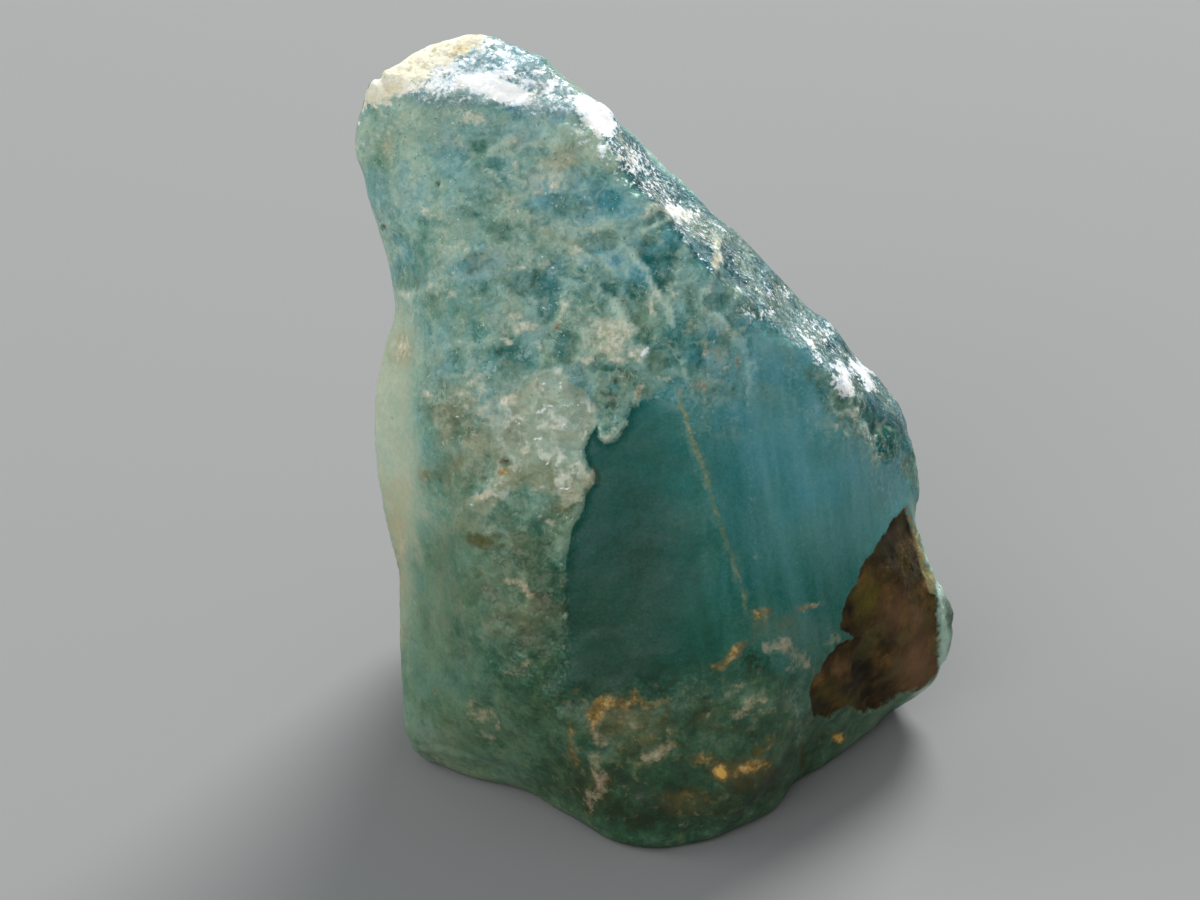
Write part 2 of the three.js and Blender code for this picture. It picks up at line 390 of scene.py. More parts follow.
VOXEL = 0.107
V, F = grow_mesh(VOXEL)
E = neighbours(F, len(V))
V = on_surface(V)
for _ in range(3):
    V = on_surface(V + 0.7 * (average(V, E, len(V)) - V))
N = normals(V, F)
for _ in range(2):
    N = N + average(N, E, len(V))
    N /= np.linalg.norm(N, axis=1)[:, None]
P = V.copy()  # the smooth body, where all patterns are placed
print("crystal", len(V), "vertices", 2 * len(F), "triangles")

# which broken face a vertex belongs to, 1 well inside it and 0.5 on its edge
_u = (P - HEART) / np.linalg.norm(P - HEART, axis=1)[:, None]
_vals = R * (_u @ _n.T) / _d
_names = list(FACES)


def face(*names, soft=0.02, grow=0.0):
    idx = [_names.index(k) for k in names]
    rest = [i for i in range(len(_names)) if i not in idx]
    s = _vals[:, idx].max(1) - _vals[:, rest].max(1)
    return smooth(s + grow, -soft, soft)


n1, n2, n3, n4, n5, n6 = (Noise(s) for s in (11, 23, 37, 41, 59, 83))
X, Y = front(P)
facing = smooth(N @ VIEW, 0.02, 0.22)

# ragged copies of the view coordinates, so that placed marks get natural edges
_w = n1.vector(P / 0.75, 3)
_v = n6.vector(P / 0.26, 2)
XR, YR = X + 9.0 * _w[:, 0] + 3.5 * _v[:, 0], Y + 9.0 * _w[:, 1] + 3.5 * _v[:, 1]
XF, YF = X + 3.5 * _w[:, 2] + 2.0 * _v[:, 2], Y + 3.5 * _w[:, 0] + 2.0 * _v[:, 1]

wrap = smooth(N @ VIEW + 0.10 * _w[:, 2], -0.50, -0.12)  # the front's own look runs on around its outline
foot_flat = smooth(P[:, 2], 0.02, 0.5)  # 0 on the resting face

# ------------------------------------------------------------------ zones of the surface
# the smooth faces: the dark window and the broad face to its right
SMOOTH = [(597, 424), (601, 437), (609, 441), (618, 435), (626, 422), (634, 404), (650, 398), (672, 396), (686, 392),
          (694, 400), (706, 408), (720, 404), (732, 404), (744, 396), (748, 376), (750, 352), (758, 336), (768, 328), (780, 326),
          (796, 330), (802, 352), (808, 376), (818, 396), (828, 420), (846, 438), (866, 446), (884, 462), (925, 492),
          (925, 520), (880, 560), (845, 640), (808, 700), (775, 668), (752, 652), (735, 672), (700, 688), (650, 697),
          (600, 702), (568, 700), (566, 640), (565, 590), (567, 560), (572, 530), (583, 510), (588, 493), (596, 483),
          (595, 474), (588, 462), (585, 449), (590, 435), (596, 428)]
PALE = [(526, 374), (544, 370), (563, 370), (572, 380), (584, 389), (591, 403), (597, 416), (596, 428), (590, 435),
        (585, 449), (588, 462), (595, 474), (596, 483), (588, 493), (584, 503), (570, 506), (556, 498), (540, 492),
        (524, 486), (512, 492), (500, 508), (484, 514), (468, 508), (480, 488), (498, 474), (512, 462), (504, 448),
        (494, 436), (484, 422), (490, 408), (504, 398), (516, 388)]
BROWN = [(906, 506), (913, 516), (918, 540), (925, 562), (932, 580), (936, 598), (938, 636), (936, 667), (930, 682),
         (907, 690), (889, 700), (874, 711), (861, 711), (848, 705), (838, 708), (828, 716), (815, 716), (808, 703),
         (811, 680), (823, 660), (836, 647), (853, 637), (841, 629), (841, 611), (853, 583), (864, 560), (878, 543),
         (893, 520)]
CRUST = [(355, 106), (364, 103), (381, 101), (388, 100), (403, 94), (420, 79), (437, 67), (454, 61), (466, 54),
         (476, 45), (486, 38), (470, 20), (380, 20), (340, 80)]
BAND = [(398, 300), (400, 318), (412, 338), (416, 370), (425, 412), (436, 428), (434, 462), (424, 481), (431, 510),
        (420, 534), (411, 560), (408, 600), (406, 650), (405, 700), (300, 700), (300, 300)]

_j = 1.5 + 14 * np.clip(smooth(X, 640, 690) * smooth(Y, 520, 440) + smooth(Y, 640, 680), 0, 1)
smooth_sd = inside(X + _j * _w[:, 0] + 0.3 * _j * _v[:, 0], Y + _j * _w[:, 1] + 0.3 * _j * _v[:, 1], SMOOTH)
pale_sd = inside(XR, YR, PALE)
pale_edge = smooth(X, 520, 560)  # its right edge is crisp, its left edge fades
brown_sd = inside(XF, YF, BROWN)
crust_sd = inside(XR, YR, CRUST)
band_sd = inside(XR, YR, BAND)
# the smooth side is darkest at its left
window = (1 - smooth(line_distance(X, Y, [(575, 430), (600, 560), (600, 680)]) + 10 * _w[:, 2], 40, 150))

m_smooth = smooth(smooth_sd, -4, 8) * facing
m_pale = smooth(pale_sd, -3 - 10 * (1 - pale_edge), 4 + 12 * (1 - pale_edge)) * facing
near_side = smooth(N @ VIEW, -0.16, 0.0) * smooth((P - HEART) @ VIEW, -3.6, -2.6)
m_brown = smooth(brown_sd, -2.5, 2.5) * near_side
m_crust = smooth(crust_sd, -3, 4) * smooth(N @ np.array([-0.35, -0.2, 0.9]), 0.35, 0.6)
m_band = smooth(band_sd, -20, 14) * smooth(P[:, 2], 1.0, 4.0) * smooth((P - HEART) @ VIEW + 2.2 * _w[:, 0] + 0.8 * _v[:, 0], -2.2, 1.2)
m_top = np.maximum(face("cap", "strip", soft=0.012), face("cap", "strip", soft=0.012, grow=0.035) * smooth(N @ VIEW, 0.12, 0.0))
# the darker foot is partly painted shade, partly the stone's own darker colour
low = smooth(Y + 0.12 * (X - 650) + 8 * _w[:, 1], 640, 715) * facing  # the darker foot
low = low + 0.8 * (1 - facing) * smooth(P[:, 2] + 0.5 * _w[:, 1], 4.8, 2.2)
# the unseen sides: smooth cleavages and granular breaks in turn
away = 1 - smooth(N @ VIEW, -0.05, 0.15)
side_f = 0.6 * n2.fbm(P / 5.2 + 5, 3) + 0.10 * _w[:, 0] + 0.05 * _v[:, 0]
side_f += 0.20 * face("back_right", soft=0.04) + 0.13 * face("left_side", soft=0.04) - 0.08 - 0.14 * smooth(P[:, 2], 9, 15)
side_smooth = smooth(side_f, 0.02, 0.07) * away
soft_left = smooth(X + 12 * _w[:, 0], 530, 430) * smooth(Y + 12 * _w[:, 1], 420, 560) * facing  # worn, waxy lower left
m_rough = np.clip((1 - m_smooth) * (1 - m_band * 0.9) * (1 - side_smooth * 0.85) * (1 - 0.8 * low) * (1 - 0.6 * soft_left), 0, 1)

# ------------------------------------------------------------------ relief (mm along the normal)
warped = P + 0.16 * n4.vector(P / 0.5, 2)
big = n3.fbm(P / 2.6, 3)
chip1 = n4.chips(warped / 1.05, 0.34) * 1.05
chip2 = n5.chips(warped / 0.48, 0.42) * 0.48
H = 0.085 * big
_f1, _f2, flake = n4.cells(warped / 1.05, 0.95)
flake_edge = smooth(_f2 - _f1, 0.15, 0.02) * smooth(n2.fbm(P / 1.2 + 12, 3), -0.15, 0.22)
flake2 = (flake * 7.13) % 1.0
calm = 1 - 0.75 * smooth(X, 500, 400) * wrap  # the left flank is worn smoother
H += m_rough * calm * (1 - 0.6 * m_top) * (0.36 * chip1 + 0.30 * chip2 + 0.015 * (n2.ridged(P / 0.5, 3) - 0.62))
H += (1 - m_rough) * (0.12 - 0.06 * m_smooth) * chip1
H += 0.22 * low * chip1

# the rough layer stands proud of the smooth faces, with a sharp ragged edge
left_side = smooth(X, 660, 610) * smooth(Y, 350, 400) * (0.35 + 0.65 * smooth(Y, 580, 500)) * smooth(Y, 720, 600)
_s = 1 + 10 * (1 - left_side)  # crisp on the left, fading elsewhere
H += (0.025 + 0.115 * left_side) * (1 - smooth(smooth_sd / _s, -2.0, 1.5)) * facing
H += 0.13 * stroke(X, Y, [(355, 130), (353, 150)], 16.0) * wrap
H += 0.05 * m_pale + 0.03 * m_pale * n5.fbm(P / 0.35, 3)
H += 0.04 * np.exp(-((smooth_sd + 5) / 4.5) ** 2) * facing * left_side
behind = 1 - smooth(N @ VIEW, -0.50, -0.12)
H += 0.07 * (1 - side_smooth) * behind + 0.03 * behind * n3.fbm(P / 0.9 + 31, 3)
# stepped cleavage on the back: plates that tilt up slowly and break off
_c = P @ np.array([0.50, 0.10, 0.86]) / 2.3 + 1.1 * n4.fbm(P / 2.8 + 61, 3) + 0.25 * _w[:, 1]
_c -= np.floor(_c)
H += 0.13 * behind * (smooth(_c, 1.0, 0.90) * _c - 0.5) * (0.35 + 0.65 * smooth(n5.fbm(P / 3.0 + 88, 2), -0.15, 0.15))
step_edge = behind * np.exp(-((_c - 0.95) / 0.05) ** 2)
side_pool = smooth(n4.fbm(P / 1.0 + 55, 3), 0.20, 0.36) * away * (1 - side_smooth)
H -= 0.05 * side_pool

# ridges, the veinlet and the rims of the pools
RIDGES = [([(680, 398), (690, 430), (700, 460), (711, 495), (722, 530), (734, 565), (745, 600)], 3.5, 0.03),
          ([(557, 224), (574, 230), (590, 233), (600, 228), (610, 224)], 7.0, 0.05),
          ([(560, 243), (575, 249), (583, 253), (592, 259)], 4.0, 0.05),
          ([(632, 256), (645, 270), (655, 287), (665, 305), (672, 322)], 4.5, 0.07),
          ([(600, 290), (612, 302), (622, 315), (636, 331)], 4.5, 0.06),
          ([(702, 306), (712, 315), (722, 325), (735, 338), (745, 352)], 5.0, 0.06),
          ([(716, 240), (717, 262), (712, 275), (706, 290), (700, 302)], 4.5, 0.06),
          ([(640, 238), (648, 230), (658, 223), (668, 219)], 4.0, 0.05),
          ([(600, 428), (603, 438), (612, 441), (618, 436), (620, 428), (627, 423)], 3.5, 0.08),
          ([(584, 361), (592, 353), (602, 347), (615, 342), (628, 346)], 5.0, 0.06),
          ([(488, 170), (502, 183)], 2.5, 0.04), ([(438, 383), (455, 392), (475, 382), (490, 388), (505, 396)], 4.5, 0.04),
          ([(470, 507), (485, 490), (500, 480)], 6.0, 0.05)]
for pts, w, h in RIDGES:
    H += h * stroke(XF, YF, pts, w) * facing

# hollows: glassy pools between the ridges, seen as deeper colour
POOLS = [(577, 206, 28, 11, 8, 0.9), (515, 233, 24, 12, 10, 0.7), (411, 268, 16, 24, 0, 0.75), (475, 263, 20, 9, -20, 0.8),
         (533, 284, 27, 12, 5, 1.0), (600, 243, 18, 9, -10, 1.0), (661, 246, 18, 26, 0, 1.0), (664, 275, 9, 14, -10, 0.9),
         (636, 305, 12, 22, -20, 1.0), (577, 275, 13, 6, 15, 0.8), (613, 288, 11, 8, 0, 0.8), (548, 305, 9, 16, 0, 1.0),
         (566, 347, 10, 18, 0, 0.9), (505, 362, 30, 15, 5, 0.7), (452, 372, 13, 20, 10, 0.7), (446, 414, 22, 9, 5, 0.8),
         (606, 374, 26, 9, 10, 0.9), (580, 390, 8, 8, 0, 0.4), (606, 404, 12, 14, 0, 0.8), (660, 358, 14, 18, 0, 0.6),
         (735, 276, 14, 11, 20, 1.0), (717, 303, 13, 10, 0, 0.8), (782, 325, 26, 16, 20, 0.7), (603, 200, 17, 15, 0, 0.8),
         (480, 148, 9, 9, 0, 0.5), (498, 165, 13, 6, 25, 0.7), (537, 152, 16, 6, 0, 0.6), (640, 178, 20, 14, 35, 0.6),
         (590, 176, 20, 8, 30, 0.6), (575, 150, 8, 8, 0, 0.4), (430, 222, 18, 6, 10, 0.5), (468, 212, 12, 8, 0, 0.6),
         (436, 192, 7, 9, 0, 0.4), (470, 330, 18, 12, 0, 0.4), (425, 300, 14, 10, 0, 0.4), (645, 335, 8, 12, 0, 0.8),
         (693, 298, 8, 14, -15, 0.7), (740, 310, 8, 6, 0, 0.5), (565, 120, 14, 6, 20, 0.5), (384, 162, 8, 6, 0, 0.3),
         (399, 240, 12, 8, 0, 0.5), (740, 725, 26, 11, 0, 0.9), (590, 742, 9, 8, 0, 0.6), (675, 755, 10, 12, 0, 0.5),
         (745, 790, 14, 8, 0, 0.5), (630, 775, 18, 12, 0, 0.4), (640, 815, 22, 12, 0, 0.4), (680, 640, 30, 16, 0, 0.3)]
pool = patches(XF, YF, [(cx, cy, 1.18 * rx, 1.18 * ry, t, s) for cx, cy, rx, ry, t, s in POOLS], 0.58) * facing
H -= 0.06 * smooth(pool, 0.08, 0.70) * (1 - low)

# brown skin: sunk a little, with a crumbly surface
H += m_brown * (-0.10 + 0.06 * n5.fbm(P / 0.9, 4) + 0.04 * (n2.ridged(P / 0.35, 3) - 0.6))
H += 0.05 * np.exp(-(brown_sd / 3.0) ** 2) * near_side
H += m_brown * patches(XR, YR, [(878, 596, 30, 56, 18, 0.13), (908, 655, 26, 34, 0, 0.13), (834, 690, 26, 24, 0, 0.13)], 0.95)
H -= m_brown * 0.10 * stroke(XR, YR, [(843, 640), (856, 660), (868, 684), (872, 706)], 7.0)

# crust on the cap: knobbly, split by a small notch
H += m_crust * (0.01 + 0.05 * n3.fbm(P / 0.7, 3) + 0.025 * n5.fbm(P / 0.28, 2))
H -= 0.14 * stroke(X, Y, [(376, 74), (384, 82), (388, 90)], 4.0) * smooth(N[:, 2], -0.2, 0.2)

# granular, streaky break on the cap and the slanting face
along = np.array([0.72, 0.0, -0.69])
Q = P - 0.62 * np.outer(P @ along, along)
H += m_top * (1 - m_crust) * (0.035 * (n2.ridged(Q / 0.40, 3) - 0.6) + 0.02 * n3.fbm(Q / 0.2, 2))

# heaps of dust, grains and pits
HEAPS = [(612, 344, 26, 14, 10, 0.05), (851, 412, 10, 8, 0, 0.05), (552, 170, 20, 14, -20, 0.04), (522, 322, 14, 9, 0, 0.04), (510, 341, 6, 4, 0, 0.05),
         (510, 402, 9, 6, 0, 0.05), (646, 352, 4, 7, 10, 0.08), (556, 328, 4, 5, 0, 0.06), (527, 451, 6, 6, 0, 0.05),
         (592, 475, 6, 6, 0, 0.05), (656, 751, 8, 7, 50, 0.08), (721, 772, 7, 7, 0, 0.03), (748, 768, 10, 5, -5, 0.03),
         (736, 651, 12, 5, -50, 0.06), (785, 647, 11, 9, 10, 0.06), (766, 614, 10, 7, 0, 0.05), (600, 775, 5, 20, -10, 0.05),
         (836, 737, 6, 6, 0, 0.03), (509, 581, 7, 4, 20, 0.05), (526, 592, 4, 9, -20, 0.05), (511, 671, 9, 6, 0, 0.04),
         (680, 212, 20, 8, 12, 0.05), (838, 374, 12, 15, -45, 0.05), (861, 375, 8, 15, -45, 0.05), (613, 703, 8, 5, -20, 0.05),
         (636, 699, 5, 7, 0, 0.05), (752, 702, 9, 5, -25, 0.05)]
DENTS = [(438, 183, 3.2, 3.2, 0, 0.10), (384, 228, 2.8, 2.8, 0, 0.08), (507, 461, 4.5, 3.5, 0, 0.12), (484, 479, 4, 3, 0, 0.08),
         (481, 540, 11, 7, 20, 0.05), (503, 546, 4, 4, 0, 0.06), (462, 190, 3, 2, 0, 0.05), (636, 708, 22, 14, 0, 0.06),
         (757, 752, 7, 6, -50, 0.06), (802, 757, 4, 18, 0, 0.07), (596, 714, 6, 8, 30, 0.05)]
H += patches(XR, YR, HEAPS, 0.8) * facing
H -= patches(X, Y, DENTS, 0.9) * facing

# how far each point stands above or below its surroundings
Hs = H.copy()
for _ in range(8):
    Hs = 0.5 * Hs + 0.5 * average(Hs, E, len(V))
proud = np.clip((H - Hs) / 0.03, -1, 1)

H *= foot_flat
V = P + N * H[:, None]
V[:, 2] = np.maximum(V[:, 2], 0.0)

# ------------------------------------------------------------------ colour masks
A = {}
# on the sides: hollows a little darker and raised points lighter as painted shade; darker towards the foot and lighter
# at the top, partly painted shade and partly the stone's own colour
side = 0.61 + 0.24 * n2.fbm(P / 2.4 + 9, 4) + 0.13 * side_smooth + 0.12 * side_pool - 0.06 * m_rough * proud
side += 0.17 * smooth(P[:, 2] + 1.5 * _w[:, 2], 8.5, 2.0) - 0.08 * smooth(P[:, 2], 12, 17)
side += side_smooth * (0.10 * n4.fbm(P * np.array([1.0, 1.0, 0.12]) / 0.7, 3))  # faint upright streaks on the cleavages
side -= 0.20 * smooth(band_sd, -70, 0) * (1 - facing)  # the pale skin on the left thins out around the corner
# the front darkens downwards: partly painted shade, partly the stone's own colour
layer = 0.45 + 0.08 * smooth(X, 400, 600) + (0.28 + 0.10 * smooth(X, 430, 560)) * smooth(Y + 10 * _w[:, 0], 400, 620)
right = 0.56 + 0.28 * smooth(Y, 380, 640) - 0.10 * smooth(X, 820, 920) * (1 - smooth(Y, 500, 620))
dark = 0.93 + 0.04 * smooth(Y, 420, 520)
near = np.maximum(facing, wrap)
tone = side * (1 - near) + near * layer
streak = n4.fbm(np.stack([(X - 0.22 * Y) / 16, Y / 190, 0 * X], 1), 3)
streak2 = n5.fbm(np.stack([(X - 0.10 * Y) / 6, Y / 90, 0 * X + 4], 1), 2)
streak3 = n3.fbm(np.stack([(X - 0.05 * Y) / 3.2, Y / 40, 0 * X + 9], 1), 2)
A["tone_s"] = np.clip(right * (1 - window) + window * dark + (0.085 * streak + 0.05 * streak2 + 0.035 * streak3) * (1 - 0.6 * window) * smooth(X, 660, 720) + patches(X, Y, [(708, 440, 52, 84, -12, 0.12), (792, 380, 40, 34, 0, 0.12), (826, 436, 34, 26, 0, 0.09)], 0.95) - patches(X, Y, [(808, 545, 62, 50, 10, 0.06), (790, 636, 44, 34, -10, 0.07)], 0.95), 0, 1)
bottom_glow_dist = line_distance(X, Y, [(400, 690), (412, 742), (450, 768), (510, 786), (560, 815), (600, 842), (650, 852), (700, 846), (760, 820),
                              (800, 790), (850, 748), (905, 695)])
CORNER = [(800, 330), (812, 340), (830, 372), (862, 396), (905, 428), (925, 470), (900, 470), (872, 452), (840, 442), (812, 410), (800, 370)]
corner = smooth(inside(XR, YR, CORNER), -8, 8) * facing
near_right = np.maximum(smooth(XR, 620, 690) * smooth(YR, 225, 300), patches(XR, YR, [(636, 388, 50, 34, 0, 1.0), (664, 352, 40, 28, 0, 0.9)], 0.9)) * facing * (1 - low)  # the break thins out towards the smooth side
# the foot's tone: darker downwards, partly painted shade and partly the stone's own colour; lighter along the bottom
# outline as painted glow of light through the thin edge
foot = 0.84 + 0.12 * smooth(Y, 740, 800) - 0.22 * smooth(X, 600, 430) - 0.10 * smooth(bottom_glow_dist, 34, 6)
tone = tone * (1 - low * facing) + low * facing * foot
turned = smooth(N @ VIEW, 0.45, 0.10)  # seen edge-on from the front
tone = tone * (1 - m_band) + m_band * (0.16 + 0.26 * smooth(Y, 440, 640) + 0.08 * smooth(X, 385, 420) + turned * (0.30 * n4.fbm(P * np.array([1.0, 1.0, 0.45]) / 0.9 + 13, 4) + 0.06))
tone = tone * (1 - 0.8 * m_pale) + 0.8 * m_pale * (0.40 + 0.22 * smooth(Y, 440, 490) + 0.34 * n3.fbm(P / 0.7 + 21, 4) + patches(XR, YR, [(556, 474, 17, 12, 20, 0.22), (535, 440, 14, 9, 0, 0.12), (574, 418, 9, 14, 0, 0.10), (515, 470, 12, 8, 0, 0.12)], 0.9))
tone += 0.26 * corner * (1 - m_smooth) + 0.13 * near_right * (1 - m_smooth) * (1 - corner)
tone += 0.07 * stroke(XR, YR, [(440, 400), (445, 480), (440, 560)], 26) * facing
tone += patches(XR, YR, [(466, 430, 62, 62, 0, 0.10), (465, 255, 62, 40, 0, 0.05)], 0.9) * facing * (1 - m_pale)
tone -= patches(XR, YR, [(628, 718, 50, 26, 0, 0.07), (732, 352, 38, 34, 0, 0.06), (554, 170, 27, 18, -25, 0.10), (535, 135, 44, 18, 0, 0.05), (640, 264, 24, 18, 0, 0.05), (545, 240, 40, 22, 0, 0.07), (724, 338, 24, 26, 0, 0.08), (413, 612, 16, 54, 0, 0.11), (413, 450, 16, 42, 0, 0.09), (672, 236, 34, 26, 0, 0.06), (700, 288, 28, 24, 0, 0.07), (476, 262, 30, 16, -15, 0.05), (727, 336, 24, 24, 0, 0.05), (720, 690, 84, 24, 0, 0.08)], 0.9) * facing
tone += patches(XR, YR, [(450, 425, 46, 64, 0, 0.12), (490, 450, 30, 20, 0, 0.12), (535, 305, 62, 24, 0, 0.12), (628, 386, 42, 24, 0, 0.12), (475, 385, 50, 60, 0, 0.08), (432, 192, 46, 26, 0, 0.07), (540, 625, 18, 30, 0, 0.07), (455, 440, 34, 50, 0, 0.08), (500, 285, 30, 20, 0, 0.08), (618, 196, 26, 14, 0, 0.06)], 0.9) * facing * (1 - m_pale)
tone -= patches(XR, YR, [(590, 208, 40, 22, 0, 0.07), (545, 150, 70, 42, 20, 0.15), (440, 150, 50, 60, 0, 0.03)], 0.9) * facing
tone += m_rough * (1 - 0.8 * m_pale) * 0.17 * (flake - 0.5)
# pools are deeper in colour; the proud term paints shade into hollows and light onto raised points
tone += 0.20 * pool * (1 - low) + 0.06 * pool * low - 0.05 * m_rough * proud
tone -= 0.10 * smooth(P[:, 2], 0.8, 0.1) * foot_flat  # painted glow: lighter along the thin lower edge, standing in for light coming through it
glassy_top = m_top * (1 - m_crust)
on_cap = face("cap", soft=0.03)
tone = tone * (1 - glassy_top) + glassy_top * (0.91 - 0.40 * on_cap)
A["tone"] = np.clip(tone, 0, 1)

A["blue_s"] = np.clip(0.62 + 0.18 * (1 - window) - 0.16 * smooth(Y, 540, 650), 0, 1)
blue = 0.22 + 0.45 * np.maximum(corner, near_right)
BLUE = [(601, 250, 32, 20, 0, 0.95), (535, 132, 46, 22, 0, 0.6), (590, 205, 78, 38, 12, 0.85), (560, 203, 34, 15, 0, 1.15), (646, 262, 46, 60, -25, 0.85), (664, 234, 34, 26, 0, 1.1), (612, 254, 26, 14, 0, 1.05), (612, 290, 50, 24, 20, 0.5), (415, 264, 26, 24, 0, 0.6), (530, 288, 44, 30, 10, 0.45), (475, 262, 34, 18, -15, 0.95),
        (590, 385, 60, 26, 10, 0.55), (655, 365, 40, 26, 0, 0.6), (735, 280, 34, 24, 30, 0.8), (782, 325, 40, 22, 25, 0.8), (450, 372, 26, 22, 0, 0.4), (505, 362, 34, 14, 0, 0.35), (565, 120, 40, 20, 20, 0.5)]
blue = np.maximum(blue, patches(XR, YR, BLUE, 0.95) * facing * (1 - low))
blue = np.maximum(blue, pool * (0.62 - 0.2 * low))
blue = np.maximum(blue, (0.12 + 0.38 * side_smooth + 0.6 * side_pool) * (1 - facing))
blue += m_rough * 0.30 * (flake2 - 0.5)
blue = np.maximum(blue, 1.0 * glassy_top)
blue *= 1 - 0.9 * m_band
blue *= 1 - 0.5 * smooth(Y, 420, 560) * facing * (1 - m_smooth)
A["blue"] = np.clip(blue, 0, 1)

SAND = [(515, 140, 12, 8, 0, 0.42), (548, 172, 20, 13, -25, 0.42), (852, 415, 9, 6, 0, 0.8), (878, 457, 8, 5, 30, 0.6), (836, 428, 7, 5, 0, 0.5), (724, 362, 10, 16, 0, 0.5), (706, 350, 8, 12, 0, 0.5), (554, 184, 7, 5, -20, 0.9), (474, 118, 13, 5, 15, 0.7),
        (469, 113, 4, 3, 0, 0.9), (578, 130, 9, 4, 10, 0.8), (540, 192, 4, 4, 0, 0.7), (423, 207, 9, 4, 25, 0.6),
        (437, 215, 9, 3, 15, 0.6), (468, 250, 12, 6, -30, 0.5), (518, 267, 14, 4, 10, 0.7), (516, 165, 6, 4, 40, 0.6),
        (389, 145, 6, 18, 0, 0.4), (402, 118, 6, 8, 0, 0.3), (453, 145, 10, 8, 0, 0.3), (590, 232, 22, 5, -5, 0.5),
        (605, 265, 10, 4, 0, 0.5), (612, 278, 6, 4, 0, 0.6), (573, 250, 14, 6, 25, 0.5), (650, 212, 18, 9, -35, 0.55),
        (680, 213, 20, 8, 12, 0.95), (716, 250, 5, 13, 0, 0.7), (716, 266, 5, 6, 0, 0.95), (707, 287, 6, 10, 20, 0.6),
        (650, 300, 5, 18, -15, 0.6), (673, 296, 6, 5, 0, 0.6), (690, 326, 6, 4, 0, 0.5), (612, 330, 24, 15, 20, 0.85),
        (610, 346, 24, 10, 5, 0.9), (586, 358, 6, 5, -40, 0.9), (618, 359, 10, 5, 10, 1.0), (638, 352, 10, 9, 0, 0.8),
        (524, 325, 12, 8, 0, 0.8), (506, 330, 6, 5, 0, 0.7), (510, 341, 7, 4, 0, 0.9), (516, 314, 10, 4, 0, 0.6),
        (560, 318, 4, 9, 5, 0.6), (410, 296, 9, 4, 0, 0.6), (448, 296, 12, 5, -10, 0.5), (483, 296, 12, 4, -10, 0.4),
        (540, 345, 5, 9, -30, 0.4), (402, 348, 12, 15, 0, 0.62), (434, 394, 6, 5, 0, 0.8), (480, 383, 6, 5, 0, 0.8),
        (470, 392, 20, 6, -10, 0.5), (510, 401, 9, 6, 0, 1.0), (552, 360, 7, 5, 0, 0.5), (640, 392, 5, 11, 15, 0.7),
        (662, 378, 12, 4, 0, 0.5), (612, 438, 9, 4, 0, 0.7), (619, 430, 4, 7, 0, 0.6), (591, 477, 6, 8, 0, 0.7),
        (569, 494, 14, 8, -10, 0.5), (527, 451, 6, 6, 0, 1.0), (486, 492, 18, 5, -40, 0.9), (540, 514, 6, 3, 20, 0.9),
        (551, 521, 7, 3, 10, 0.8), (440, 534, 7, 3, 0, 0.4), (509, 581, 8, 4, 25, 1.0), (527, 592, 4, 10, -25, 0.9),
        (511, 671, 9, 5, 0, 0.7), (527, 662, 4, 4, 0, 0.7), (473, 703, 4, 6, 0, 0.6), (482, 718, 12, 5, 10, 0.6),
        (488, 735, 10, 4, 45, 0.5), (656, 751, 7, 6, 50, 1.0), (644, 754, 6, 4, 0, 0.6), (595, 729, 4, 8, -20, 0.85),
        (636, 726, 7, 5, 0, 0.6), (645, 706, 9, 4, 0, 0.6), (600, 775, 4, 20, -8, 0.8), (591, 797, 4, 9, 0, 0.5),
        (665, 731, 4, 5, 0, 0.6), (785, 647, 11, 8, 10, 0.9), (792, 668, 6, 5, 0, 0.5), (815, 603, 11, 4, -15, 0.7),
        (833, 639, 9, 6, 0, 0.5), (752, 703, 9, 4, -25, 0.95), (757, 696, 4, 4, 0, 0.7), (766, 711, 12, 2.5, 0, 0.7),
        (741, 710, 5, 3, 20, 0.8), (769, 701, 5, 3, 0, 0.7), (736, 685, 6, 5, 0, 0.55), (723, 795, 9, 5, 0, 0.3),
        (680, 823, 7, 4, 0, 0.4), (828, 414, 16, 6, 10, 0.25), (404, 545, 9, 22, 0, 0.5), (707, 717, 3, 5, 10, 1.0),
        (611, 742, 3, 3, 0, 1.0), (560, 575, 5, 40, 0, 0.25), (560, 640, 4, 30, 0, 0.2)]
sand = patches(XR, YR, SAND, 0.85) * facing
sand = np.maximum(sand, (0.28 + 0.14 * proud) * m_rough * facing * smooth(n5.fbm(P / 1.3 + 33, 4), -0.08, 0.30) * (1 - pool) * (1 - 0.55 * smooth(Y, 520, 600)))
CREAM_LINES = [([(592, 722), (595, 733), (603, 740)], 4.5, 0.68), ([(645, 758), (655, 752), (664, 744)], 6.0, 0.72), ([(597, 757), (602, 774), (600, 790), (591, 803)], 6.5, 0.62),
               ([(630, 728), (640, 723), (650, 730)], 4.5, 0.40), ([(736, 713), (750, 704), (763, 697)], 4.5, 0.65), ([(738, 710), (757, 712), (777, 711)], 2.5, 0.50),
               ([(772, 650), (785, 645), (797, 652), (803, 664)], 6.0, 0.58), ([(474, 712), (486, 713), (496, 718), (501, 727)], 4.0, 0.58), ([(513, 581), (524, 585), (533, 596)], 4.5, 0.72),
               ([(516, 664), (520, 674), (528, 662)], 4.5, 0.43), ([(480, 700), (478, 710)], 3.0, 0.29), ([(610, 716), (620, 722), (634, 718)], 4.0, 0.29), ([(720, 700), (732, 694), (742, 684)], 4.0, 0.36)]
sand = np.maximum(sand, strokes(XR, YR, CREAM_LINES) * facing)
side_edge = np.exp(-((side_f - 0.045) / 0.022) ** 2) * smooth(n5.fbm(P / 1.1 + 90, 3), 0.05, 0.40) * away
side_sand = 0.62 * smooth(n5.fbm(P / 2.0 + 70, 5), 0.30, 0.55) + 0.20 * side_edge + 0.45 * step_edge * smooth(n3.fbm(P / 1.3 + 15, 3), 0.0, 0.3)
side_sand = np.maximum(side_sand, (0.30 + 0.14 * proud) * m_rough * smooth(n5.fbm(P / 1.4 + 33, 4), -0.05, 0.30)) * (1 - facing) * (1 - glassy_top)
A["sand"] = np.clip(np.maximum(sand, side_sand), 0, 1)

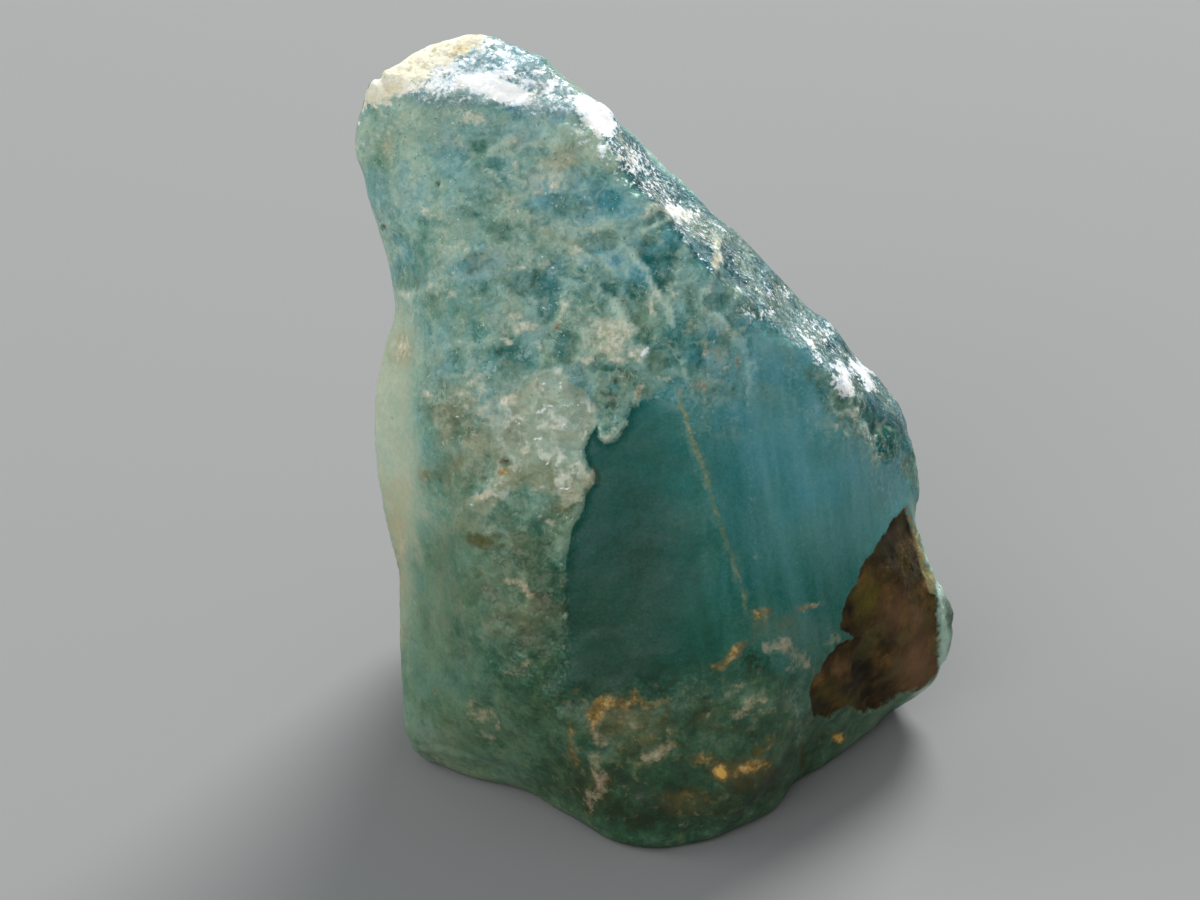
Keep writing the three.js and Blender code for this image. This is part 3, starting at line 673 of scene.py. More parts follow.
OCHRE = [(716, 352, 6, 12, -10, 0.5), (738, 362, 4, 16, 0, 0.45), (702, 384, 8, 6, 0, 0.5), (708, 470, 5, 14, -15, 0.3), (613, 703, 8, 5, -20, 0.8), (597, 714, 8, 8, 30, 0.9), (636, 698, 5, 7, 0, 0.9), (646, 706, 9, 3, 0, 0.7),
         (664, 702, 9, 3, 5, 0.5), (572, 750, 5, 12, 0, 0.5), (737, 650, 13, 5, -50, 1.0), (715, 665, 9, 3, -30, 0.5),
         (761, 614, 13, 9, -10, 0.62), (766, 609, 6, 4, 0, 0.8), (805, 608, 13, 6, -15, 0.6), (812, 605, 5, 3, 0, 0.7), (721, 772, 8, 8, 0, 1.9),
         (748, 768, 11, 5, -5, 1.1), (768, 740, 7, 4, -30, 0.6), (836, 737, 6, 6, 0, 1.9), (702, 758, 16, 10, 0, 0.5),
         (505, 470, 6, 5, 0, 0.9), (595, 478, 4, 4, 0, 0.6), (527, 661, 3, 3, 0, 0.8), (436, 691, 6, 5, 0, 0.5),
         (430, 474, 8, 8, 0, 0.5), (686, 795, 8, 6, 0, 0.5), (656, 736, 8, 4, 40, 0.4), (556, 328, 4, 5, 0, 0.9),
         (540, 192, 3, 3, 0, 0.8), (574, 263, 4, 3, 0, 0.6), (713, 262, 4, 10, 5, 0.5), (405, 354, 6, 7, 0, 0.30),
         (389, 146, 4, 14, 0, 0.35), (603, 320, 10, 5, 0, 0.4), (690, 326, 5, 3, 0, 0.5), (640, 392, 4, 9, 15, 0.6),
         (510, 402, 6, 4, 0, 0.4), (480, 383, 4, 3, 0, 0.4), (752, 405, 4, 8, 0, 0.2), (662, 735, 10, 8, 0, 0.3)]
ochre = patches(XF, YF, OCHRE, 0.9) * facing
VEINLET = [(680, 398), (690, 430), (700, 460), (711, 495), (722, 530), (734, 565), (746, 602)]
_vx = np.interp(Y, [p[1] for p in VEINLET], [p[0] for p in VEINLET])
A["vein_d"] = np.clip(X + 1.6 * _v[:, 0] - _vx, -30, 30) + 30 * (1 - facing)
A["vein"] = stroke(X, Y, VEINLET, 9.0) * (0.55 + 0.45 * smooth(Y, 540, 440)) * facing
OCHRE_LINES = [([(590, 724), (592, 714), (601, 706), (613, 702)], 6.0, 0.80), ([(613, 703), (624, 707), (636, 697), (640, 700)], 4.5, 0.60), ([(640, 702), (648, 706), (658, 703), (668, 700)], 3.5, 0.46),
               ([(572, 730), (573, 745), (576, 762)], 5.0, 0.43), ([(722, 664), (732, 657), (744, 643)], 5.5, 0.70), 
               ([(738, 773), (750, 769), (764, 763)], 5.5, 0.66), ([(760, 750), (774, 736)], 4.0, 0.43),
               ([(664, 716), (672, 728), (676, 742)], 4.0, 0.31), ([(640, 740), (655, 738), (668, 748)], 4.0, 0.35)]
ochre = np.maximum(ochre, strokes(XR, YR, OCHRE_LINES) * facing)
WASH = [(571, 499, 20, 15, -10, 0.95), (518, 628, 48, 66, 0, 0.24), (562, 482, 40, 22, -8, 0.55), (591, 478, 8, 16, 0, 1.0), (500, 446, 16, 22, 30, 0.45), (481, 538, 22, 13, 15, 0.35), (428, 474, 9, 14, 0, 0.7), (403, 575, 10, 90, 0, 0.50), (403, 350, 15, 21, 0, 0.95), (600, 780, 14, 28, 0, 0.5), (628, 718, 50, 26, -6, 0.72), (745, 770, 42, 20, 0, 0.7), (780, 628, 50, 24, 0, 0.5), (684, 800, 34, 18, 0, 0.6), (738, 652, 22, 14, -40, 0.5),
        (573, 748, 11, 24, 0, 0.5), (640, 745, 36, 20, 0, 0.45), (700, 720, 40, 30, 0, 0.35), (830, 735, 24, 14, 0, 0.35), (505, 470, 30, 22, 0, 0.4),
        (484, 545, 28, 16, 0, 0.30), (430, 480, 14, 20, 0, 0.35), (600, 640, 24, 60, 0, 0.10)]
side_wash = (0.65 * smooth(n3.fbm(P / 2.2 + 60, 3), 0.12, 0.45) + 0.3 * smooth(P[:, 2], 5, 1)) * (1 - facing) * (1 - glassy_top)
A["wash"] = np.clip(patches(XR, YR, WASH, 0.95) * facing + side_wash, 0, 1)
side_ochre = (0.70 * smooth(n5.fbm(P / 1.4 + 140, 4), 0.30, 0.5) + 0.5 * side_edge * smooth(n4.fbm(P / 1.7 + 20, 2), 0.1, 0.4)) * (1 - facing) * (1 - glassy_top)
A["ochre"] = np.clip(np.maximum(ochre, side_ochre), 0, 1.6)

OLIVE = [(483, 540, 18, 9, 18, 1.0), (497, 534, 8, 5, 0, 0.6), (503, 546, 5, 4, 0, 0.7), (507, 461, 6, 3, -10, 1.0), (484, 479, 6, 4, 0, 0.7),
         (757, 752, 8, 6, -50, 0.9), (802, 757, 4, 18, 0, 0.8), (593, 713, 5, 7, 30, 0.7), (686, 796, 7, 6, 0, 0.7),
         (680, 800, 24, 14, 0, 0.35), (702, 758, 15, 9, 0, 0.35), (482, 573, 5, 6, 0, 0.5), (438, 183, 2.6, 2.6, 0, 1.6),
         (384, 228, 2.4, 2.4, 0, 1.0), (462, 190, 4, 2, -20, 0.6), (475, 194, 2, 2, 0, 0.6), (616, 251, 2.5, 2.5, 0, 0.8),
         (623, 301, 4, 2, 30, 0.7), (566, 228, 4, 2, 20, 0.5), (592, 440, 3, 8, -20, 0.5), (600, 390, 8, 6, 0, 0.3),
         (396, 418, 2.5, 2.5, 0, 0.5), (740, 655, 4, 3, 0, 0.5), (430, 476, 7, 7, 0, 0.3), (436, 691, 5, 4, 0, 0.4)]
olive = patches(XF, YF, OLIVE, 0.9) * facing
A["olive"] = np.clip(olive, 0, 1)

# pale veils and streaks, and painted glow along the bottom outline
VEILS_AND_EDGE_GLOW = [([(557, 224), (574, 230), (590, 233), (600, 228), (610, 224)], 7.0, 0.5),
         ([(560, 243), (575, 249), (583, 253), (592, 259), (606, 262)], 4.0, 0.6),
         ([(632, 256), (645, 270), (655, 287), (665, 305), (672, 322)], 4.5, 0.80), ([(600, 290), (612, 302), (622, 315), (636, 331)], 4.5, 0.68), ([(655, 262), (668, 284), (684, 308)], 5.0, 0.45), ([(717, 244), (717, 262), (712, 275), (706, 290), (700, 302)], 5.0, 0.50),
         ([(702, 306), (712, 315), (722, 325), (735, 338), (745, 352)], 5.0, 0.55), ([(742, 330), (748, 360), (747, 398)], 3.5, 0.48), ([(747, 398), (750, 440), (752, 500), (756, 560)], 3.5, 0.35),
         ([(488, 170), (502, 183)], 2.0, 0.9), ([(500, 200), (508, 204), (518, 204)], 2.0, 0.8), ([(685, 288), (692, 276)], 2.0, 0.6),
         ([(640, 238), (648, 230), (658, 223), (668, 219)], 3.0, 0.7), ([(600, 428), (603, 438), (612, 441), (618, 436), (620, 428), (627, 423)], 3.0, 0.8),
         ([(402, 293), (410, 298), (418, 292)], 3.0, 0.7), ([(790, 400), (800, 470), (800, 560)], 9.0, 0.22), ([(820, 420), (835, 470), (835, 540)], 11.0, 0.2),
         ([(566, 540), (564, 600), (565, 660), (566, 700)], 4.5, 0.30), ([(690, 420), (712, 500), (735, 570)], 9.0, 0.15),
         ([(860, 430), (880, 460), (890, 500)], 16.0, 0.35), ([(795, 690), (798, 715), (800, 738)], 6.0, 0.35), ([(880, 700), (850, 722), (820, 745)], 6.0, 0.3),
         # the two strokes below follow the bottom outline: painted glow of light through the thin edge
         ([(430, 760), (500, 772), (560, 800), (600, 832)], 9.0, 0.25), ([(600, 838), (680, 842), (740, 812), (790, 775)], 8.0, 0.22),
         ([(420, 90), (404, 100), (380, 112)], 5.0, 0.3), ([(370, 120), (364, 135), (366, 145)], 5.0, 0.5)]
side_veil = 0.42 * smooth(1 - np.abs(n4.fbm(P / 2.1 + 11, 3)) * 5, 0.1, 1.0) * smooth(n2.fbm(P / 1.8 + 44, 2), 0.0, 0.3) * (1 - 0.7 * side_smooth) * (1 - facing) * (1 - glassy_top)
pool_rim = 0.34 * (1 - m_smooth) * np.exp(-((pool - 0.28) / 0.14) ** 2) * smooth(n4.fbm(P / 0.6 + 77, 3), -0.12, 0.22) * smooth(pool, 0.02, 0.12) * (1 - low) * facing
A["veil_and_glow"] = np.clip(np.maximum(strokes(XF, YF, VEILS_AND_EDGE_GLOW) * facing, pool_rim) + side_veil + 0.42 * flake_edge * m_rough * (1 - m_top) * (1 - low), 0, 1)

# painted highlights: bright glints on the cap, on the slanting break and in the pale layer
GLINT_PATCHES = [([(454, 75), (476, 71), (495, 76), (512, 82), (526, 94), (524, 104), (495, 103), (476, 95), (461, 86)], 1.6),
         ([(577, 94), (590, 98), (606, 104), (614, 116), (618, 129), (611, 139), (598, 134), (584, 122), (573, 112)], 1.5),
         ([(420, 82), (438, 68), (456, 62), (474, 56), (484, 66), (462, 76), (460, 90), (436, 98), (418, 96)], 0.78), ([(505, 66), (534, 68), (545, 84), (524, 92)], 0.6),
         ([(592, 140), (612, 138), (618, 152), (604, 160), (594, 152)], 0.75), ([(606, 150), (636, 140), (662, 168), (664, 182), (640, 178), (612, 168)], 0.66),
         ([(560, 120), (582, 128), (610, 150), (640, 176), (650, 190), (628, 184), (596, 160), (566, 138)], 0.50), ([(640, 172), (668, 182), (676, 200), (656, 200), (640, 186)], 0.6),
         ([(660, 190), (676, 176), (688, 190), (680, 196)], 0.5), ([(660, 199), (672, 199), (690, 205), (702, 214), (698, 224), (684, 222), (674, 222), (664, 210)], 0.85),
         ([(799, 312), (806, 313), (812, 330), (816, 350), (820, 364), (812, 364), (806, 346), (800, 328)], 0.95), ([(825, 369), (836, 363), (848, 372), (853, 391), (842, 394), (831, 385)], 1.3), ([(850, 362), (859, 357), (869, 370), (877, 386), (871, 395), (858, 387), (854, 374)], 1.3), ([(816, 322), (828, 332), (846, 350), (838, 362), (822, 352), (814, 336)], 0.40),
         ([(733, 312), (740, 306), (760, 308), (775, 304), (775, 312), (750, 321)], 0.8), ([(756, 288), (780, 284), (800, 294), (796, 304), (764, 306)], 0.6),
         ([(720, 246), (742, 250), (762, 268), (760, 278), (742, 268), (722, 260)], 0.42), ([(800, 314), (818, 318), (834, 345), (826, 352), (808, 330)], 0.6),
         ([(692, 222), (720, 228), (730, 246), (712, 246)], 0.42), ([(700, 236), (716, 240), (716, 262), (706, 262)], 0.35)]
A["cap"] = np.clip(glassy_top * on_cap, 0, 1)
painted_glint = np.zeros(len(V))  # strengths over 1 are solid white
for pts, s in GLINT_PATCHES:
    painted_glint = np.maximum(painted_glint, s * smooth(inside(XR, YR, pts), -9, 9) * smooth(N @ VIEW, -0.1, 0.1))
# painted highlights: small glints on grains of the break and of the pale layer
GLINT_SPOTS = [(826, 332, 12, 20, 20, 0.7), (762, 286, 40, 15, 40, 0.42), (728, 252, 26, 12, 40, 0.36), (552, 404, 5, 2, -10, 0.8), (566, 424, 3, 2, 0, 0.8), (528, 414, 3, 2, -30, 0.8), (548, 462, 3, 2, 0, 0.7), (574, 470, 2, 5, 10, 0.7), (541, 410, 9, 4, -10, 0.9), (572, 403, 16, 3, -5, 0.7), (520, 422, 8, 3, -45, 0.7), (540, 437, 7, 4, 10, 0.8), (556, 438, 5, 3, 0, 0.6),
        (567, 440, 3, 3, 0, 0.8), (563, 486, 22, 2.5, -5, 0.6), (580, 462, 3, 16, 8, 0.4), (540, 384, 14, 3, -15, 0.5), (563, 384, 5, 4, 0, 0.6), (580, 418, 5, 2, 0, 0.5),
        (646, 352, 3.5, 7, 10, 1.0), (524, 326, 8, 5, 0, 0.5), (458, 360, 2, 2, 0, 0.5), (592, 387, 1.8, 4, 0, 0.9), (607, 389, 1.8, 4, 0, 0.6), (460, 416, 5, 3, 0, 0.6),
        (497, 482, 4, 3, 0, 0.5), (473, 503, 4, 4, 0, 0.6), (538, 126, 4, 4, 0, 0.5), (362, 122, 2.5, 3.5, 0, 1.0), (366, 141, 6, 4, 30, 0.5),
        (551, 266, 3, 1.6, 0, 1.0), (470, 113, 4, 2.5, 0, 0.6), (645, 747, 3, 2, 0, 0.4), (658, 338, 2, 2, 0, 0.9), (568, 348, 3, 2, 0, 0.7),
        (543, 305, 4, 6, 0, 0.5), (503, 252, 2, 2, 0, 0.8), (619, 159, 4, 3, 0, 0.8), (748, 295, 3, 2, 0, 0.9), (629, 294, 2, 2, 0, 0.7)]
painted_glint = np.maximum(painted_glint, patches(XF, YF, GLINT_SPOTS, 0.8) * facing)
# glint specks in clumps, for the painted highlights on the top break
glint_specks = smooth(n2.ridged(Q / 0.34 + 3, 3), 0.62, 0.85)
clump = smooth(n4.fbm(Q / 0.9 + 7, 3), -0.05, 0.25)
painted_glint *= 1 - patches(XR, YR, [(812, 404, 24, 26, 0, 0.6), (846, 405, 20, 10, 0, 0.85), (877, 370, 9, 18, 0, 0.35)], 0.9)
painted_glint *= 1 - glassy_top * (1 - on_cap) * (0.34 - 0.34 * smooth(n3.fbm(P / 0.55 + 19, 3), -0.22, 0.12) - 0.3 * glint_specks * clump)
# painted highlight over the cap, and glint specks on the top break and the corner
painted_glint = np.maximum(painted_glint, glassy_top * (0.03 + 0.35 * on_cap + (0.10 + 0.42 * clump + 0.08 * on_cap) * glint_specks))
painted_glint = np.maximum(painted_glint, 0.42 * corner * glint_specks * clump)
A["painted_glint"] = np.clip(painted_glint, 0, 1.5)
A["top"] = np.clip(glassy_top, 0, 1)
A["grain"] = np.clip(m_rough * (0.75 + 0.25 * (1 - m_pale)), 0, 1)
A["brown_sd"] = np.clip(brown_sd, -20, 20) * near_side - 20 * (1 - near_side)
A["smooth_sd"] = np.clip(smooth_sd, -60, 60) * facing - 60 * (1 - facing)
A["fade"] = 1 + np.maximum(24 * smooth(X, 625, 720) * smooth(Y, 560, 460), 30 * smooth(Y, 600, 690))
A["crust"] = smooth(crust_sd, -16, 6) * smooth(N @ np.array([-0.35, -0.2, 0.9]), 0.35, 0.6)
A["crust_tan"] = patches(XR, YR, [(394, 90, 12, 10, -30, 0.75), (462, 50, 18, 9, -35, 0.8), (374, 99, 12, 6, 0, 0.5), (430, 70, 14, 8, -40, 0.3)], 0.9)
A["pale"] = np.clip(m_pale, 0, 1)
A["band"] = np.clip(m_band, 0, 1)
WARM = [(554, 168, 27, 18, -25, 1.0), (517, 140, 16, 11, 0, 0.9), (447, 142, 18, 14, 0, 0.35), (389, 145, 8, 22, 0, 0.5), (480, 262, 40, 10, -25, 0.4), (560, 236, 50, 8, 15, 0.5), (466, 430, 62, 62, 0, 0.75), (450, 520, 50, 40, 0, 0.45), (490, 600, 70, 80, 0, 0.35), (540, 300, 60, 50, 0, 0.15)]
A["warm"] = np.clip(np.maximum(m_band * (0.25 + 0.75 * smooth(YR, 430, 540)) * (1 - 0.6 * smooth(YR, 620, 700)), patches(XR, YR, WARM, 0.95) * facing * (1 - m_smooth) * (1 - m_band)), 0, 1)
A["low"] = np.clip(low, 0, 1)
A["unseen"] = (1 - near) * (1 - glassy_top)
A["worn"] = np.clip(0.75 * smooth(X, 640, 710) * smooth(smooth_sd, 62, 0) * smooth(Y, 520, 400) + 0.25 * smooth(Y, 640, 690) * smooth(smooth_sd, 40, 0), 0, 1) * facing
# lower parts duller and darker: partly painted shade, partly the stone's own colour
A["lower_dull_and_shade"] = np.clip(smooth(Y + 10 * _w[:, 1], 420, 620) * facing + 0.8 * smooth(P[:, 2] + 0.4 * _w[:, 1], 9.5, 4.5) * (1 - facing), 0, 1)
A["proud"] = proud
# patches of the brown skin: olive and reddish ones partly painted highlights on its lobes, dark ones partly painted
# shade, as along its crease
B_OLIVE_HIGHLIGHT = [(868, 600, 13, 26, 10, 1.0), (846, 700, 14, 8, 0, 0.7), (905, 560, 8, 18, 0, 0.6), (826, 690, 8, 10, 0, 0.4)]
B_RED_HIGHLIGHT = [(917, 660, 22, 34, 10, 1.0), (898, 610, 18, 26, 10, 0.8), (915, 620, 10, 22, 0, 0.7), (900, 540, 8, 14, 0, 0.4), (840, 668, 10, 8, 0, 0.5)]
B_DARK_SHADE = [(862, 672, 14, 24, 10, 1.0), (818, 708, 14, 10, 0, 1.0), (895, 548, 18, 32, 20, 1.0), (880, 560, 10, 20, 20, 0.6), (843, 640, 6, 12, 0, 0.7)]
A["b_olive_highlight"] = patches(XR, YR, B_OLIVE_HIGHLIGHT, 0.95)
A["b_red_highlight"] = patches(XR, YR, B_RED_HIGHLIGHT, 0.95)
A["b_dark_shade"] = patches(XR, YR, B_DARK_SHADE, 0.95)
# painted glow: the lit cream and teal rim along the right edge of the brown skin, light coming through the crystal's
# edge
cream_rim = stroke(X, Y, [(911, 508), (917, 524), (922, 545), (928, 568), (934, 590)], 4.5)
A["b_rim"] = cream_rim * smooth(N @ VIEW, -0.2, 0.1)
rim = np.exp(-((brown_sd + 5) / 5.0) ** 2) * smooth(X, 905, 925) * smooth(N @ VIEW, -0.3, 0.0)
A["rim"] = np.clip(rim * 1.25 * (1 - 0.2 * smooth(Y, 610, 680)), 0, 1)

# ------------------------------------------------------------------ mesh object
me = bpy.data.meshes.new("grandidierite_crystal_surface")
me.vertices.add(len(V))
me.vertices.foreach_set("co", (V * 0.001).astype(np.float32).ravel())
me.loops.add(len(F) * 4)
me.loops.foreach_set("vertex_index", F.astype(np.int32).ravel())
me.polygons.add(len(F))
me.polygons.foreach_set("loop_start", np.arange(0, len(F) * 4, 4, dtype=np.int32))
me.polygons.foreach_set("loop_total", np.full(len(F), 4, np.int32))
me.update(calc_edges=True)
me.validate()
me.shade_smooth()
for name, val in A.items():
    at = me.attributes.new(name, "FLOAT", "POINT")
    at.data.foreach_set("value", val.astype(np.float32))
crystal = bpy.data.objects.new("grandidierite_crystal_surface", me)
bpy.context.scene.collection.objects.link(crystal)

# ------------------------------------------------------------------ material
mat = bpy.data.materials.new("cloudy_grandidierite")
mat.use_nodes = True
nt = mat.node_tree
nt.nodes.clear()


def nd(kind, *ins, out=0, **props):
    n = nt.nodes.new(kind)
    for k, v in props.items():
        setattr(n, k, v)
    for i, v in enumerate(ins):
        if v is None:
            continue
        if isinstance(v, bpy.types.NodeSocket):
            nt.links.new(v, n.inputs[i])
        else:
            n.inputs[i].default_value = v
    return n.outputs[out]


def m(op, a, b=None, c=None, clamp=False):
    return nd("ShaderNodeMath", a, b, c, operation=op, use_clamp=clamp)


def mul(a, b):
    return m("MULTIPLY", a, b)


def add(a, b):
    return m("ADD", a, b)


def sub(a, b):
    return m("SUBTRACT", a, b)


def fit(x, a, b, lo=0.0, hi=1.0, kind="SMOOTHSTEP"):
    return nd("ShaderNodeMapRange", x, a, b, lo, hi, interpolation_type=kind)


def mix(fac, a, b, blend="MIX"):
    n = nt.nodes.new("ShaderNodeMix")
    n.data_type = "RGBA"
    n.blend_type = blend
    n.clamp_factor = True
    for i, v in ((0, fac), (6, a), (7, b)):
        if isinstance(v, bpy.types.NodeSocket):
            nt.links.new(v, n.inputs[i])
        else:
            n.inputs[i].default_value = v if i == 0 else (*v, 1.0)[:4]
    return n.outputs[2]


def mixf(fac, a, b):
    n = nt.nodes.new("ShaderNodeMix")
    n.data_type = "FLOAT"
    for i, v in ((0, fac), (2, a), (3, b)):
        if isinstance(v, bpy.types.NodeSocket):
            nt.links.new(v, n.inputs[i])
        else:
            n.inputs[i].default_value = v
    return n.outputs[0]


def attr(name):
    n = nt.nodes.new("ShaderNodeAttribute")
    n.attribute_name = name
    return n.outputs["Fac"]


MM = nd("ShaderNodeVectorMath", nd("ShaderNodeTexCoord", out=3), (1000.0, 1000.0, 1000.0), operation="MULTIPLY")


def shifted(vec, w):
    """The coordinates moved far away, so that each pattern has its own piece of the noise."""
    return nd("ShaderNodeVectorMath", vec or MM, (3.7 * w + 11.0, 7.9 * w - 5.0, 2.3 * w + 23.0), operation="ADD")


def noise(size, detail=3.0, rough=0.55, w=0.0, vec=None):
    """Fractal noise with features of about `size` mm; mean 0.5."""
    n = nt.nodes.new("ShaderNodeTexNoise")
    nt.links.new(shifted(vec, w), n.inputs["Vector"])
    n.inputs["Scale"].default_value = 1.0 / size
    n.inputs["Detail"].default_value = detail
    n.inputs["Roughness"].default_value = rough
    return n.outputs[0]


def cells(size, w=0.0, feature="F1", vec=None):
    n = nt.nodes.new("ShaderNodeTexVoronoi")
    n.feature = feature
    nt.links.new(shifted(vec, w), n.inputs["Vector"])
    n.inputs["Scale"].default_value = 1.0 / size
    return n


def ridge(size, width, w=0.0, detail=2.0, vec=None):
    """Thin wandering lines: 1 on the line."""
    x = m("ABSOLUTE", sub(noise(size, detail, 0.5, w, vec), 0.5))
    return fit(x, width, 0.0)


def stops(x, points):
    n = nt.nodes.new("ShaderNodeValToRGB")
    el = n.color_ramp.elements
    while len(el) > 1:
        el.remove(el[-1])
    for i, (t, c) in enumerate(points):
        e = el[0] if i == 0 else el.new(t)
        e.position = t
        e.color = (*c, 1.0)
    nt.links.new(x, n.inputs[0])
    return n.outputs[0]


def srgb(r, g, b):
    f = lambda c: c / 12.92 / 255 if c <= 10.3 else ((c / 255 + 0.055) / 1.055) ** 2.4
    return (f(r), f(g), f(b))


def colours(node):
    n = nt.nodes.new("ShaderNodeSeparateColor")
    nt.links.new(node.outputs["Color"], n.inputs[0])
    return n.outputs[0], n.outputs[1], n.outputs[2]


def centred(x, gain=1.0):
    return mul(sub(x, 0.5), gain)


tone, blue, sand, ochre, olive = (attr(k) for k in ("tone", "blue", "sand", "ochre", "olive"))
veil_and_glow, painted_glint, grain, crust, pale = (attr(k) for k in ("veil_and_glow", "painted_glint", "grain", "crust", "pale"))
band, rim, brown_sd, smooth_sd = attr("band"), attr("rim"), attr("brown_sd"), attr("smooth_sd")
tone_s, blue_s, top, low, proud = attr("tone_s"), attr("blue_s"), attr("top"), attr("low"), attr("proud")

# the stone's own coordinates, bent a little so that nothing follows straight cells
_n = nt.nodes.new("ShaderNodeTexNoise")
_n.inputs["Scale"].default_value = 1.0 / 0.4
_n.inputs["Detail"].default_value = 2.0
nt.links.new(MM, _n.inputs["Vector"])
_o = nd("ShaderNodeVectorMath", _n.outputs["Color"], (0.5, 0.5, 0.5), operation="SUBTRACT")
_o = nd("ShaderNodeVectorMath", _o, (0.55, 0.55, 0.55), operation="MULTIPLY")
BENT = nd("ShaderNodeVectorMath", MM, _o, operation="ADD")

fade = attr("fade")
is_smooth = fit(m("DIVIDE", add(smooth_sd, centred(noise(0.12, 3, 0.6, 5.5), mul(fade, 5.0))), fade), -0.8, 0.8)
grain = m("MAXIMUM", mul(grain, sub(1.0, is_smooth)), mul(attr("worn"), fit(noise(0.8, 4, 0.62, 6.5), 0.36, 0.60)))
tone = mixf(is_smooth, tone, tone_s)
blue = mixf(is_smooth, blue, blue_s)

# clouds inside the stone, and chips of the break, each with its own depth and hue
chipA = colours(cells(0.60, 3.0, "F1", BENT))
chipB = colours(cells(0.27, 5.0, "F1", BENT))
cloud = centred(noise(2.6, 3, 0.5, 1.3))
mott = centred(noise(0.55, 5, 0.62, 4.7))
fine = centred(noise(0.16, 4, 0.65, 9.1))
dusty = centred(noise(0.07, 2, 0.5, 2.2))
cloud2 = centred(noise(1.15, 2, 0.5, 2.9))
depth = add(tone, add(mul(cloud, mixf(is_smooth, 0.25, 0.12)), mul(cloud2, add(mul(grain, 0.30), mixf(is_smooth, 0.10, 0.05)))))
rough_var = add(add(centred(chipA[0], 0.10), centred(chipB[0], 0.07)), add(mul(mott, 0.42), mul(fine, 0.26)))
depth = add(depth, mul(rough_var, mul(grain, sub(1.0, mul(attr("lower_dull_and_shade"), 0.52)))))
depth = add(depth, add(mul(fine, 0.13), mul(dusty, 0.14)))
depth = add(depth, mul(add(mul(mott, 0.42), centred(noise(0.26, 4, 0.66, 14.0), 0.26)), low))
# painted shade: raised points a little lighter, hollows a little darker
depth = add(depth, mul(proud, mul(grain, -0.05)))
depth = add(depth, mul(band, add(mul(mott, 0.22), mul(fine, 0.28))))

body = stops(depth, [
    (0.00, srgb(200, 208, 182)),
    (0.20, srgb(174, 190, 166)),
    (0.45, srgb(138, 172, 154)),
    (0.65, srgb(98, 142, 120)),
    (0.85, srgb(40, 98, 74)),
    (1.00, srgb(18, 62, 42)),
])
body_blue = stops(depth, [
    (0.00, srgb(190, 216, 206)),
    (0.25, srgb(158, 200, 192)),
    (0.45, srgb(116, 173, 184)),
    (0.65, srgb(76, 146, 154)),
    (0.85, srgb(16, 110, 108)),
    (1.00, srgb(2, 74, 62)),
])
hue = add(add(blue, centred(noise(1.3, 4, 0.55, 12.0), 0.9)), mul(add(centred(chipA[1], 0.20), centred(chipB[1], 0.10)), grain))
colour = mix(m("MAXIMUM", hue, 0.0), body, body_blue)

# frosted grey-blue break on top
top_c = stops(add(depth, mul(fine, 0.5)), [
    (0.30, srgb(176, 192, 196)),
    (0.60, srgb(122, 152, 158)),
    (0.85, srgb(68, 112, 120)),
    (1.00, srgb(36, 82, 92)),
])
colour = mix(mul(top, 0.65), colour, top_c)

# olive-grey film on the broken parts
film = fit(add(noise(1.5, 6, 0.62, 41.0), mul(proud, 0.03)), 0.46, 0.60)
colour = mix(mul(mul(film, grain), mixf(attr("lower_dull_and_shade"), 0.26, 0.16)), colour, srgb(158, 166, 130))
lace = mul(ridge(1.5, 0.045, 43.0, 4.0, BENT), fit(noise(1.2, 3, 0.6, 44.0), 0.42, 0.58))
lace = mul(lace, sub(1.0, mul(attr("lower_dull_and_shade"), 0.85)))
colour = mix(mul(mul(lace, grain), 0.36), colour, srgb(186, 204, 178))

wash_m = fit(add(attr("wash"), centred(noise(0.35, 5, 0.62, 19.0), 0.9)), 0.1, 1.0)
colour = mix(mul(mul(wash_m, fit(attr("wash"), 0.0, 0.2)), 0.46), colour, srgb(140, 122, 70))

# greener and duller towards the foot: partly painted shade, partly the stone's own colour
lower_dull_and_shade = attr("lower_dull_and_shade")
colour = mix(mul(lower_dull_and_shade, 0.60), colour, mix(1.0, colour, srgb(232, 214, 186), "MULTIPLY"))
colour = mix(mul(low, 0.42), colour, mix(1.0, colour, srgb(246, 227, 204), "MULTIPLY"))

colour = mix(mul(mul(low, fit(depth, 0.70, 0.95)), 0.65), colour, mix(1.0, colour, srgb(254, 228, 226), "MULTIPLY"))
colour = mix(mul(low, 0.07), colour, srgb(128, 104, 70))

# painted shade: the sides away from the light of the window are made a little greyer
unseen = attr("unseen")
colour = mix(mul(unseen, 0.60), colour, mix(1.0, colour, srgb(240, 214, 204), "MULTIPLY"))
colour = mix(mul(mul(fit(noise(2.0, 5, 0.6, 121.0), 0.44, 0.62), unseen), 0.30), colour, srgb(112, 132, 104))

foot_n = mul(fit(noise(0.24, 5, 0.68, 131.0), 0.52, 0.66), fit(noise(0.9, 3, 0.6, 133.0), 0.40, 0.58))
colour = mix(mul(mul(foot_n, low), 0.42), colour, srgb(138, 130, 86))
foot_d = mul(fit(noise(0.34, 4, 0.62, 135.0), 0.56, 0.66), low)
colour = mix(mul(foot_d, 0.35), colour, srgb(22, 66, 58))

# warmer flecks in the pale skin on the left
warm = attr("warm")
colour = mix(mul(mul(fit(noise(1.0, 5, 0.62, 151.0), 0.42, 0.62), warm), 0.40), colour, srgb(180, 164, 122))
colour = mix(mul(mul(fit(noise(0.5, 5, 0.62, 153.0), 0.50, 0.66), warm), 0.36), colour, srgb(192, 168, 144))

colour = mix(mul(warm, 0.14), colour, srgb(190, 160, 116))

